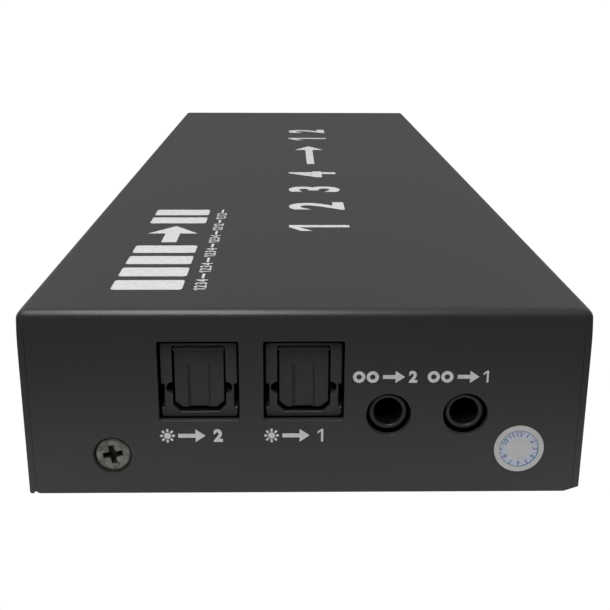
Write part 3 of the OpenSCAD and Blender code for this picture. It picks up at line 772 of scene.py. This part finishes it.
def build_top_print():
    # reads from the near end to the far end, tops of the figures towards -X
    obs = []
    T, B = ZT, LID_TOP - 0.02

    def at(x_foot, y_start):
        return lambda u, v, w: (x_foot - v, y_start + u, w)

    # large figures: four inputs, an arrow, two outputs
    foot, high = 7.9, 9.9
    places = (("1", -63.4), ("2", -47.0), ("3", -30.5), ("4", -14.4), ("1", 40.5), ("2", 54.8))
    for t, y in places:
        v, f, w = figure(t, high, 0.03)
        obs.append(flat(v, f, at(foot, y), T, B))
    obs.append(patch(arrow(0.0, 27.0, high / 2, 1.7, 6.0, 3.4), at(foot, 2.5), T, B))
    # four bars, an arrow, two bars
    foot = -15.8
    p = at(foot, -96.4)
    for u in (0.0, 6.3, 12.6, 18.9, 38.5, 44.8):
        obs.append(patch(rrect(u, u + 4.4, 0.0, 9.2, 0.5), p, T, B))
    obs.append(patch(arrow(25.4, 36.4, 4.6, 2.3, 5.2, 3.9), p, T, B))
    # fine row of small figures beside it
    foot = -12.75
    u = 0.4
    p = at(foot, -97.0)
    n = 0
    while u < 48.0:
        t = "1234"[n % 4] if n < 16 else "12"[n % 2]
        v, f, w = figure(t, 1.6, 0.012)
        obs.append(flat([(a + u, b) for a, b in v], f, p, T, B))
        u += w + 0.45
        if n % 4 == 3:
            obs.append(patch(rrect(u + 0.15, u + 2.4, 0.62, 0.98, 0.1), p, T, B))
            u += 3.0
        n += 1
    ob = merge("top_print", obs)
    piece(ob, "top_printing", "case", M["print"], smooth=False)


def build_end_print():
    obs = []
    T, B = -YO - 0.03, -YO + 0.03

    def at(x, z):
        return lambda u, v, w: (x + u, w, z + v)

    # light outputs: a lens with rays, an arrow, a figure
    for x, z, t in ((-18.1, 7.15, "2"), (-5.1, 7.15, "1")):
        z += 1.5
        p = at(x, z)
        obs.append(patch(circle(0.85, 0.85, 0.42, 24), p, T, B))
        for k in range(8):
            ray = [(0.54, -0.14), (0.92, -0.14), (0.92, 0.14), (0.54, 0.14)]
            obs.append(patch(moved(turned(ray, 45 * k), 0.85, 0.85), p, T, B))
        obs.append(patch(arrow(2.2, 5.6, 0.85, 0.52, 1.25, 0.86), p, T, B))
        v, f, w = figure(t, 1.72, 0.045)
        obs.append(flat([(a + 6.6, b) for a, b in v], f, p, T, B))
    # left and right sound: two rings, an arrow, a figure
    for x, z, t in ((5.8, 15.05, "2"), (15.0, 15.05, "1")):
        z += 1.5
        p = at(x, z)
        for k in (0, 1):
            obs.append(ring_patch(circle(0.76 + 1.68 * k, 0.76, 0.76, 28), 0.42, p, T, B))
        obs.append(patch(arrow(3.7, 6.4, 0.76, 0.5, 1.15, 0.8), p, T, B))
        v, f, w = figure(t, 1.56, 0.045)
        obs.append(flat([(a + 6.9, b) for a, b in v], f, p, T, B))
    ob = merge("end_print", obs)
    piece(ob, "end_printing", "case", M["label"], smooth=False)


build_top_print()
build_end_print()


# ---------------------------------------------------------------- paper seal
SEAL_X, SEAL_Z = 26.95, 7.56


def seal_y(x, z):
    """Face of the seal: pressed on at the upper right, a little proud at the lower left."""
    u, v = (x - SEAL_X) / 3.15, (z - SEAL_Z) / 3.15
    k = max(0.0, min(1.0, 0.5 - 0.36 * (u + v) - 0.0))
    dip = -0.012 * max(0.0, 1 - ((u + 0.11) ** 2 + (v + 0.23) ** 2) / 0.45)
    return -YO - 0.045 - 0.055 * k ** 2 + dip * -1


def build_seal():
    n = 96
    radii = [0.0, 0.35, 0.8, 1.3, 1.8, 2.3, 2.7, 2.95, 3.08, 3.13, 3.15]
    front = [[(SEAL_X + r * math.cos(2 * math.pi * i / n), SEAL_Z + r * math.sin(2 * math.pi * i / n)) for i in range(n)]
             for r in radii]
    rings = [[(x, seal_y(x, z) + (0.012 if r == 3.15 else 0.003 if r == 3.13 else 0), z) for x, z in ring] for r, ring in zip(radii, front)]
    rings += [[(x, seal_y(x, z) + 0.035, z) for x, z in ring] for r, ring in zip(reversed(radii), reversed(front))]
    seal = loft("seal", rings)
    piece(seal, "paper_seal", "case", M["paper"], ["seal_sticker"], sharp=60)

    def on(u, v, w):
        x, z = SEAL_X + u, SEAL_Z + v
        return (x, seal_y(x, z) - w, z)

    blue, pale = [], []
    # pale printed band between the ring and the plain centre
    band = [(2.43 * math.cos(2 * math.pi * i / n), 2.43 * math.sin(2 * math.pi * i / n)) for i in range(n)]
    band += [(1.52 * math.cos(2 * math.pi * i / n), 1.52 * math.sin(2 * math.pi * i / n)) for i in range(n)]
    wash = flat(band, [(i, (i + 1) % n, n + (i + 1) % n, n + i) for i in range(n)], on, 0.0015, -0.006)
    piece(wash, "seal_printing_band", "case", M["ink_wash"], smooth=False)
    # printed ring, heavier at the lower right
    outer, inner = [], []
    for i in range(n):
        a = 2 * math.pi * i / n
        wide = 0.10 + 0.08 * max(0.0, math.cos(a + 0.7)) ** 2
        outer.append((2.5 * math.cos(a), 2.5 * math.sin(a)))
        inner.append(((2.5 - wide) * math.cos(a), (2.5 - wide) * math.sin(a)))
    faces = [(i, (i + 1) % n, n + (i + 1) % n, n + i) for i in range(n)]
    blue.append(flat(outer + inner, faces, on, 0.004, -0.006))
    for k in range(12):
        v, f, w = glyphs(str(k + 1), 0.66, 0.05)
        a = math.pi / 2 - 2 * math.pi * (k + 1) / 12
        cx, cy = 2.0 * math.cos(a), 2.0 * math.sin(a)
        t = math.degrees(a) - 90
        pts = turned([(x - w / 2, y - 0.31) for x, y in v], t)
        (pale if k % 3 else blue).append(flat(moved(pts, cx, cy), f, on, 0.004, -0.006))
        b = a - math.pi / 12
        pale.append(patch(moved(turned(rrect(-0.05, 0.05, -0.16, 0.16, 0.03), math.degrees(b) - 90), 2.2 * math.cos(b), 2.2 * math.sin(b)),
                          on, 0.004, -0.006))
    piece(merge("s", blue), "seal_printing_blue", "case", M["ink_blue"], smooth=False)
    piece(merge("s", pale), "seal_printing_pale", "case", M["ink_grey"], smooth=False)


build_seal()


# ---------------------------------------------------------------- optical sockets
def plug_outline(w, z0, z1, c, r=0.25):
    h = w / 2
    return fillet([(-h + c, z0), (h - c, z0), (h, z0 + c), (h, z1), (-h, z1), (-h, z0 + c)], [0.2, 0.2, 0.2, r, r, 0.2])


def build_socket(i, x):
    z0, z1 = PCB + 0.05, PCB + 9.85
    body = prism("h", "y", moved(fillet([(-4.725 + 0.25, z0), (4.725 - 0.25, z0), (4.725, z0 + 0.35), (4.725, z1), (-4.725, z1),
                                         (-4.725, z0 + 0.35)], [0.15, 0.15, 0.15, 0.3, 0.3, 0.15]), x, 0), ends(OPT_Y, OPT_Y + 13.5, 0.1, 0.15))
    cut(body, [prism("c", "y", moved(plug_outline(6.6, PCB + 0.75, PCB + 9.5, 0.88), x, 0), hole(OPT_Y, OPT_Y + 9, 0.12))])
    cut(body, [prism("c", "y", circle(x + s * 3.3, PCB + 3.9, 0.8, 36), hole(OPT_Y, OPT_Y + 6, 0.08)) for s in (-1, 1)])
    cut(body, [prism("c", "y", circle(x, PCB + 4.6, 1.3, 40), [(OPT_Y + 8.7, 0.25), (OPT_Y + 9.0, 0.2), (OPT_Y + 9.2, 0), (OPT_Y + 11.6, 0)])])
    cut(body, [prism("c", "y", rrect(x - 3.4, x + 3.4, z0 - 1, PCB + 9.0, 0.1), [(OPT_Y + 11.5, 0), (OPT_Y + 14, 0)])])
    cut(body, [prism("c", "x", circle(OPT_Y + 0.8, HINGE_Z, 0.38, 24), [(x - 4.15, 0), (x - 3.2, 0)])])
    cut(body, [prism("c", "x", circle(OPT_Y + 0.8, HINGE_Z, 0.38, 24), [(x + 3.9, 0), (x + 4.4, 0)])])
    cut(body, [prism("c", "x", circle(OPT_Y + 0.8, HINGE_Z, 0.62, 32), [(x + 3.2, 0), (x + 4.0, 0)])])
    for s in (-1, 1):
        pts = rrect(x + s * 4.725 - 0.4, x + s * 4.725 + 0.4, PCB + 1.3, PCB + 4.45, 0.12)
        cut(body, [prism("c", "y", pts, [(OPT_Y - 0.5, 0.1), (OPT_Y, 0.08), (OPT_Y + 0.1, 0.0), (OPT_Y + 5, 0.0)])])
    piece(body, f"optical_socket_{i}", "case", [M["socket"], M["socket_inside"]], [f"optical_housing_{i}"], sharp=35)
    # painted shade: the walls inside the opening are darker and matt
    for p in body.data.polygons:
        c = p.center / MM
        if abs(c.x - x) < 3.4 and PCB + 0.6 < c.z < PCB + 9.6 and c.y > OPT_Y + 0.2 and abs(p.normal.y) < 0.6:
            p.material_index = 1


def build_door(i, x):
    z0, y0, hz = PCB + 1.2, OPT_Y + 0.4, HINGE_Z
    w = 3.05
    pts = fillet([(x - w + 0.92, z0), (x + w - 0.92, z0), (x + w, z0 + 0.78), (x + w, hz + 0.39), (x - w, hz + 0.39), (x - w, z0 + 0.78)],
                 [0.15, 0.15, 0.15, 0.12, 0.12, 0.15])
    # the top edge rolls back round the hinge
    rings = []
    for wy, g in ends(y0, y0 + 0.8, 0.07, 0.07):
        ring = []
        for u, v in grow(pts, g):
            y = wy
            dz = v - hz
            if dz > 0:
                half = math.sqrt(max(0.0, 0.16 - min(dz, 0.4) ** 2))
                y = (y0 + 0.4) + max(-half, min(half, wy - (y0 + 0.4)))
            ring.append((u, y, v))
        rings.append(ring)
    door = loft("d", rings)
    # shallow middle panel with moulded lips
    panel = rrect(x - 1.35, x + 1.35, z0 - 0.6, z0 + 5.9, 0.12)
    cut(door, [prism("c", "y", panel, [(y0 - 0.4, 0.1), (y0 - 0.01, 0.06), (y0 + 0.05, 0.02), (y0 + 0.12, 0.0)])])
    # a wider moulded groove down its left side, a faint one down its right, and its foot cut back
    cut(door, [prism("c", "y", rrect(x - 1.42, x - 1.08, z0 - 0.6, z0 + 5.6, 0.15), [(y0 - 0.3, 0.05), (y0 + 0.12, 0.0), (y0 + 0.27, -0.1)])])
    cut(door, [prism("c", "y", rrect(x + 1.14, x + 1.3, z0 - 0.6, z0 + 5.6, 0.07), [(y0 - 0.3, 0.05), (y0 + 0.12, 0.0), (y0 + 0.2, -0.05)])])
    cut(door, [prism("c", "y", fillet([(x - 1.35, z0 - 0.6), (x + 1.35, z0 - 0.6), (x + 1.05, z0 + 0.13), (x - 1.05, z0 + 0.13)], 0.05),
                     [(y0 - 0.4, 0.0), (y0 + 1.2, 0.0)])])
    pins = prism("p", "x", circle(y0 + 0.4, hz, 0.33, 28), [(x - 4.1, -0.08), (x - 4.04, 0), (x + 4.29, 0), (x + 4.35, -0.08)])
    union(door, [pins])
    piece(door, f"optical_door_flap_{i}", f"optical_door_{i}", M["shutter"], [f"optical_shutter_{i}"], sharp=30)


def build_spring(i):
    """A small torsion spring on the door's pin: nearly four turns and one leg."""
    y, z = OPT_Y + 0.8, HINGE_Z
    r, wire = 0.455, 0.05
    pts = []
    pts.append(Vector((3.46, y + 0.47, z - 1.1)))
    turns, n = 3.6, 16
    for k in range(int(turns * n) + 1):
        a = 2 * math.pi * k / n
        pts.append(Vector((3.46 + 0.33 * k / (turns * n), y + r * math.cos(a), z + r * math.sin(a))))
    last = pts[-1]
    return pts, wire


def sweep(name, pts, r, sides=8):
    rings = []
    up_v = Vector((1, 0, 0))
    for k, p in enumerate(pts):
        a, b = pts[max(0, k - 1)], pts[min(len(pts) - 1, k + 1)]
        t = (b - a).normalized()
        n1 = (up_v - t * up_v.dot(t))
        n1 = n1.normalized() if n1.length > 1e-6 else t.orthogonal().normalized()
        n2 = t.cross(n1)
        rings.append([p + n1 * r * math.cos(2 * math.pi * j / sides) + n2 * r * math.sin(2 * math.pi * j / sides) for j in range(sides)])
    return loft(name, rings)


for i, x in enumerate(OPT_X, 1):
    build_socket(i, x)
    build_door(i, x)
    pts, wire = build_spring(i)
    coil = sweep("coil", [p + Vector((x, 0, 0)) for p in pts], wire)
    piece(coil, f"door_spring_{i}", f"optical_door_{i}", M["spring"], [f"shutter_spring_{i}"], sharp=60)


# ---------------------------------------------------------------- audio jacks
for i, x in enumerate(JACK_X, 1):
    y0, y1 = OPT_Y, OPT_Y + 13.5
    jack = brick("j", x - 3.5, x + 3.5, y0 + 1.5, y1, JACK_Z - 2.6, JACK_Z + 2.6, 0.25, 0.12, axis="y")
    union(jack, [prism("n", "y", circle(x, JACK_Z, 2.4), ends(y0, y0 + 2.2, 0.22, 0.0, 4))])
    cut(jack, [prism("c", "y", circle(x, JACK_Z, 1.8), hole(y0, y0 + 5.1, 0.22))])
    cut(jack, [prism("c", "y", circle(x, JACK_Z, 2.05), [(y0 + 5, 0), (y1 - 0.8, 0)])])
    cut(jack, [brick("c", x + s * 2.3 - 0.45, x + s * 2.3 + 0.45, y0 + 5.5, y1 - 1.5, JACK_Z - 0.75, JACK_Z + 0.75, 0.05, 0.05)
               for s in (-1, 1)])
    # the ledges that rest on the board
    jack = merge("j", [jack] + [brick("l", x + a, x + b, y0 + 4, y1 - 2.5, PCB, PCB + 1, 0.1, 0.1) for a, b in ((-4.4, -3.38), (3.38, 4.4))])
    piece(jack, f"audio_jack_body_{i}", "case", [M["jack"], M["socket_inside"]], [f"audio_jack_{i}"], sharp=35)
    # painted shade: the bore is darker and matt
    for p in jack.data.polygons:
        c = p.center / MM
        if math.hypot(c.x - x, c.z - JACK_Z) < 2.1 and c.y > y0 + 0.26:
            p.material_index = 1


# ---------------------------------------------------------------- video ports
def port_outline(y):
    return moved(fillet([(-5.0, 0), (5.0, 0), (7.0, 1.95), (7.0, 4.55), (-7.0, 4.55), (-7.0, 1.95)],
                        [0.5, 0.5, 0.5, 0.55, 0.55, 0.5]), y, PORT_Z)


def build_port(kind, i, y):
    pts = port_outline(y)
    shell = tube("s", "x", pts,
                 [(PORT_X, 0.36), (PORT_X + 0.08, 0.42), (PORT_X + 0.25, 0.36), (PORT_X + 0.6, 0.3), (PORT_X + 11.5, 0.3)],
                 [(PORT_X, 0.30), (PORT_X + 0.12, 0.16), (PORT_X + 0.5, 0.03), (PORT_X + 0.9, 0.0), (PORT_X + 11.5, 0.0)])
    # windows of the spring fingers, above and below
    cut(shell, [brick("c", PORT_X + 3.0, PORT_X + 8.6, y + s * 3.4 - 1.15, y + s * 3.4 + 1.15, PORT_Z + 4.3, PORT_Z + 5.2, 0.3, 0.02)
                for s in (-1, 1)])
    cut(shell, [brick("c", PORT_X + 3.0, PORT_X + 8.6, y + s * 2.6 - 1.0, y + s * 2.6 + 1.0, PORT_Z - 0.6, PORT_Z + 0.2, 0.3, 0.02)
                for s in (-1, 1)])
    fingers = []
    for s in (-1, 1):
        for (cy, half, z, sg) in ((y + s * 3.4, 0.85, PORT_Z + 4.6, -1), (y + s * 2.6, 0.72, PORT_Z - 0.05, 1)):
            rings = []
            for k in range(9):
                t = k / 8
                px = PORT_X + 8.7 - 5.3 * t
                dip = sg * (0.42 * math.sin(min(t / 0.72, 1.0) * math.pi / 2) ** 2 - (0.35 * max(0.0, t - 0.72) / 0.28))
                zz = z + (0.1 if sg < 0 else -0.1) + dip
                w = half * (1 - 0.25 * t)
                rings.append([(px, cy - w, zz - 0.1), (px, cy + w, zz - 0.1), (px, cy + w, zz + 0.1), (px, cy - w, zz + 0.1)])
            fingers.append(loft("f", rings))
    legs = [brick("l", PORT_X + a, PORT_X + a + 1.6, y + s * 7.45 - 0.15, y + s * 7.45 + 0.15, PCB, PCB + 3.2, 0.06, 0.06, axis="y")
            for s in (-1, 1) for a in (3, 8)]
    ob = merge("shell", [shell] + fingers + legs)
    piece(ob, f"{kind}_port_shell_{i}", "case", M["steel"], [f"video_{kind}_shell_{i}"], sharp=35)
    back = prism("b", "x", pts, [(PORT_X + 7.5, -0.12), (PORT_X + 7.58, -0.05), (PORT_X + 11.4, -0.05)])
    tongue = prism("t", "x", fillet([(y - 5.6, PORT_Z + 1.95), (y + 5.6, PORT_Z + 1.95), (y + 5.6, PORT_Z + 2.95), (y - 5.6, PORT_Z + 2.95)], 0.12),
                   [(PORT_X + 0.8, -0.22), (PORT_X + 0.9, -0.12), (PORT_X + 1.15, 0.0), (PORT_X + 7.6, 0.0)])
    union(back, [tongue])
    piece(back, f"{kind}_port_tongue_{i}", "case", M["black"], [f"video_{kind}_insulator_{i}"], sharp=30)


for i, y in enumerate(IN_Y, 1):
    build_port("input", i, y)
for i, y in enumerate(OUT_Y, 1):
    build_port("output", i, y)


# ---------------------------------------------------------------- DC inlet
def build_inlet():
    x0 = -XI + 0.2
    body = prism("b", "x", rrect(83.5, 92.5, PCB, PCB + 11, 0.4), ends(x0 + 1.0, x0 + 14, 0.12, 0.12))
    union(body, [prism("c", "x", circle(88, 18.1, 4.05), ends(x0, x0 + 1.6, 0.18, 0.0))])
    cut(body, [prism("c", "x", circle(88, 18.1, 3.15), hole(x0, x0 + 9.5, 0.25))])
    cut(body, [prism("c", "x", circle(88, 18.1, 1.02, 32), [(x0 + 9, 0), (x0 + 12.5, 0)])])
    piece(body, "inlet_body", "case", M["black"], ["dc_inlet_body"], sharp=35)
    pin = prism("p", "x", circle(88, 18.1, 1.0, 40), [(x0 + 1.0, -0.75), (x0 + 1.06, -0.45), (x0 + 1.25, -0.18), (x0 + 1.6, 0), (x0 + 12.4, 0)])
    piece(pin, "inlet_pin", "case", M["steel"], ["dc_inlet_pin"])


build_inlet()


# ---------------------------------------------------------------- controls
def cap(name, node, body, x1, y, r, stem_r, stem_x0, skirt_x):
    """A round key: crowned face, rounded rim, a fine ring, and its stem."""
    key = prism("k", "x", circle(y, CTL_Z, r, 72),
                [(skirt_x, -0.05), (skirt_x + 0.05, 0), (x1 - 0.42, 0), (x1 - 0.3, -0.03), (x1 - 0.16, -0.12), (x1 - 0.08, -0.26),
                 (x1 - 0.055, -0.45), (x1 - 0.09, -0.5), (x1 - 0.09, -0.58), (x1 - 0.05, -0.63), (x1 - 0.02, -r * 0.55), (x1, -r * 0.8)])
    if stem_x0 < skirt_x:
        union(key, [prism("s", "x", circle(y, CTL_Z, stem_r, 40), ends(stem_x0, skirt_x + 0.3, 0.1, 0.0))])
    piece(key, name, body, M["button"], [node], sharp=35)


cap("power_key_cap", "power_button", "power_key", XO + 1.0, -84, 2.75, 1.5, XO - 6.0, XO - 1.3)
cap("output_1_key_cap", "output_1_button", "output_1_key", XO + 0.9, SELECT_Y[0], 1.75, 1.75, XO - 3.6, XO - 3.6)
cap("output_2_key_cap", "output_2_button", "output_2_key", XO + 0.9, SELECT_Y[1], 1.75, 1.75, XO - 3.6, XO - 3.6)


def build_knob():
    knob = prism("k", "x", rrect(65.75, 68.25, 12.9, 14.3, 0.15), ends(XO - 3.6, XO + 0.6, 0.06, 0.14))
    cut(knob, [prism("c", "x", rrect(66.0 + 0.55 * i, 66.2 + 0.55 * i, 12.5, 14.8, 0.05), [(XO + 0.42, 0.0), (XO + 0.7, 0.08)]) for i in range(4)])
    piece(knob, "mode_knob_cap", "mode_knob", M["button"], ["mode_switch_knob"], sharp=30)


build_knob()


def lamp(y):
    r = 1.45
    dome = [(XO - 1.0 + r * math.sin(a), -(r - r * math.cos(a))) for a in (math.radians(d) for d in (15, 30, 45, 58, 70, 80, 86))]
    lens = prism("l", "x", circle(y, CTL_Z, r, 40),
                 [(XO - 5.0, 0.15), (XO - 4.95, 0.25), (XO - 4.25, 0.25), (XO - 4.2, 0.15), (XO - 4.15, 0.0), (XO - 1.0, 0.0)] + dome)
    legs = []
    for s in (-1, 1):
        yy = y + s * 0.9
        legs.append(brick("g", XO - 6.2, XO - 4.6, yy - 0.2, yy + 0.2, CTL_Z - 0.2, CTL_Z + 0.2, 0.05, 0.05))
        legs.append(brick("g", XO - 6.2, XO - 5.8, yy - 0.2, yy + 0.2, PCB, CTL_Z, 0.05, 0.05))
    return lens, legs


lenses, legs = [], []
for y in LAMP_Y:
    a, b = lamp(y)
    lenses.append(a)
    legs += b
piece(merge("l", lenses), "input_lamp_lenses", "case", M["lamp"], ["indicator_lamps"], sharp=35)
piece(merge("g", legs), "input_lamp_legs", "case", M["zinc"])
a, b = lamp(-72)
piece(a, "power_lamp_lens", "case", M["lamp_red"], ["power_lamp"], sharp=35)
piece(merge("g", b), "power_lamp_legs", "case", M["zinc"])


def build_receiver():
    x0 = XO - 6.2
    r = 2.45
    body = brick("r", x0, XO - 3.2, 84.9, 91.1, PCB + 0.4, PCB + 7, 0.3, 0.2, axis="x")
    dome = [(XO - 2.0 + r * math.sin(a), -(r - r * math.cos(a))) for a in (math.radians(d) for d in (12, 25, 38, 50, 62, 73, 83))]
    union(body, [prism("d", "x", circle(88, CTL_Z, r, 56), [(XO - 3.5, 0), (XO - 2.0, 0)] + dome)])
    piece(body, "receiver_window", "case", M["ir"], ["infrared_receiver"], sharp=35)
    pins = [brick("g", XO - 4.8, XO - 4.4, 88 + i * 2.3 - 0.25, 88 + i * 2.3 + 0.25, PCB, PCB + 0.5, 0.05, 0.05) for i in (-1, 0, 1)]
    piece(merge("g", pins), "receiver_pins", "case", M["zinc"])


build_receiver()


# ---------------------------------------------------------------- carried-over nodes
CARRIED = {
    "main_pcb": "board", "switching_chip": "chip", "control_chip": "chip", "audio_chip": "chip", "thermal_pad": "pad",
    "heat_sink": "aluminium", "crystal_can": "can", "power_inductor": "ferrite", "filter_capacitors": "can",
    "voltage_regulator": "chip", "pcb_standoffs": "brass", "pcb_screws": "zinc", "optical_emitter_1": "emitter",
    "optical_emitter_2": "emitter", "audio_jack_contacts_1": "gold", "audio_jack_contacts_2": "gold", "video_contacts": "gold",
    "power_switch_body": "white", "output_1_switch_body": "black", "output_2_switch_body": "black",
    "mode_switch_body": "switch_metal",
}
for node, key in CARRIED.items():
    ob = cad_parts[node]
    ob.data.materials.clear()
    ob.data.materials.append(M[key])
left = [n for n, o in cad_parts.items() if not o.hide_render and n not in CARRIED]
if left:
    raise RuntimeError(f"nodes without a look: {left}")

# ---------------------------------------------------------------- floor and light
bpy.ops.mesh.primitive_circle_add(vertices=96, radius=30.0, fill_type="NGON", location=(0, 0, 0))
floor = bpy.context.object
floor.name = "floor"
def studio(nt, plain, seen_strength):
    """The picture's background is plain white; the object is lit by the plain shader alone."""
    white = nt.nodes.new("ShaderNodeEmission" if seen_strength else "ShaderNodeBackground")
    path = nt.nodes.new("ShaderNodeLightPath")
    mix = nt.nodes.new("ShaderNodeMixShader")
    white.inputs["Color"].default_value = (1.0, 1.0, 1.0, 1)
    white.inputs["Strength"].default_value = seen_strength or 1.02
    link(nt, path.outputs["Is Camera Ray"], mix.inputs[0])
    link(nt, plain, mix.inputs[1])
    link(nt, white.outputs[0], mix.inputs[2])
    out = next(n for n in nt.nodes if n.type in ("OUTPUT_MATERIAL", "OUTPUT_WORLD"))
    link(nt, mix.outputs[0], out.inputs["Surface"])


fmat, fnt, fb = shader("floor_light_pool")
fco = coords(fnt)
# painted light pool: the floor is white close round the object and dark beyond it, so that the object's lower faces are
# lit more; the camera sees it all as white
split = fnt.nodes.new("ShaderNodeSeparateXYZ")
link(fnt, fco, split.inputs[0])
beyond = []
for k, half in ((0, XO * MM), (1, YO * MM)):
    side = math_node(fnt, "SUBTRACT", math_node(fnt, "ABSOLUTE", split.outputs[k], 0.0), half)
    side = math_node(fnt, "MAXIMUM", side, 0.0)
    beyond.append(math_node(fnt, "MULTIPLY", side, side))
away = math_node(fnt, "SQRT", math_node(fnt, "ADD", beyond[0], beyond[1]), 0.0)
fall = fnt.nodes.new("ShaderNodeMapRange")
fall.interpolation_type = "SMOOTHSTEP"
fall.inputs["From Min"].default_value, fall.inputs["From Max"].default_value = 0.0, 0.062
link(fnt, away, fall.inputs["Value"])
link(fnt, mixed(fnt, fall.outputs["Result"], (0.86, 0.86, 0.86), (0.06, 0.06, 0.06)), fb.inputs["Base Color"])
fb.inputs["Roughness"].default_value = 0.9
fb.inputs["Specular IOR Level"].default_value = 0.0
studio(fnt, fb.outputs[0], 1.02)
floor.data.materials.append(fmat)

world = bpy.data.worlds.new("studio")
SCENE.world = world
world.use_nodes = True
wnt = world.node_tree
wb = wnt.nodes["Background"]
wb.inputs["Color"].default_value = (1.0, 1.0, 1.0, 1)
# brighter behind the object than in front of it
wco = wnt.nodes.new("ShaderNodeTexCoord")
wsp = wnt.nodes.new("ShaderNodeSeparateXYZ")
link(wnt, wco.outputs["Generated"], wsp.inputs[0])
wmr = wnt.nodes.new("ShaderNodeMapRange")
wmr.inputs["From Min"].default_value, wmr.inputs["From Max"].default_value = -0.35, 0.35
wmr.inputs["To Min"].default_value, wmr.inputs["To Max"].default_value = 0.04, 0.22
link(wnt, wsp.outputs["Y"], wmr.inputs["Value"])
link(wnt, wmr.outputs["Result"], wb.inputs["Strength"])
studio(wnt, wb.outputs[0], 0.0)


def softbox(name, loc, target, size_x, size_y, radiance, colour=(1, 1, 1)):
    """A soft lamp of that radiance; its long side runs from front to back."""
    li = bpy.data.lights.new(name, "AREA")
    li.shape = "RECTANGLE"
    li.size, li.size_y = size_x, size_y
    li.energy = radiance * math.pi * size_x * size_y
    li.color = colour
    ob = bpy.data.objects.new(name, li)
    SCENE.collection.objects.link(ob)
    ob.location = loc
    z = (Vector(loc) - Vector(target)).normalized()
    x = Vector((0, 1, 0)).cross(z).normalized()
    ob.rotation_euler = Matrix((x, z.cross(x), z)).transposed().to_euler()
    return ob


# a long lamp overhead, a little to the left, tilted to the front
softbox("overhead", (-0.088, -0.315, 0.60), (0.0, -0.08, 0.02), 0.15, 0.58, 15.8, (1.0, 1.0, 1.0))
softbox("left", (-0.66, 0.42, 0.36), (0.0, 0.0, 0.02), 0.85, 0.60, 1.85, (1.0, 0.985, 0.97))
softbox("right", (0.66, 0.42, 0.36), (0.0, 0.0, 0.02), 0.85, 0.60, 1.85, (1.0, 0.985, 0.97))

# ---------------------------------------------------------------- the last line
bpy.context.view_layer.update()
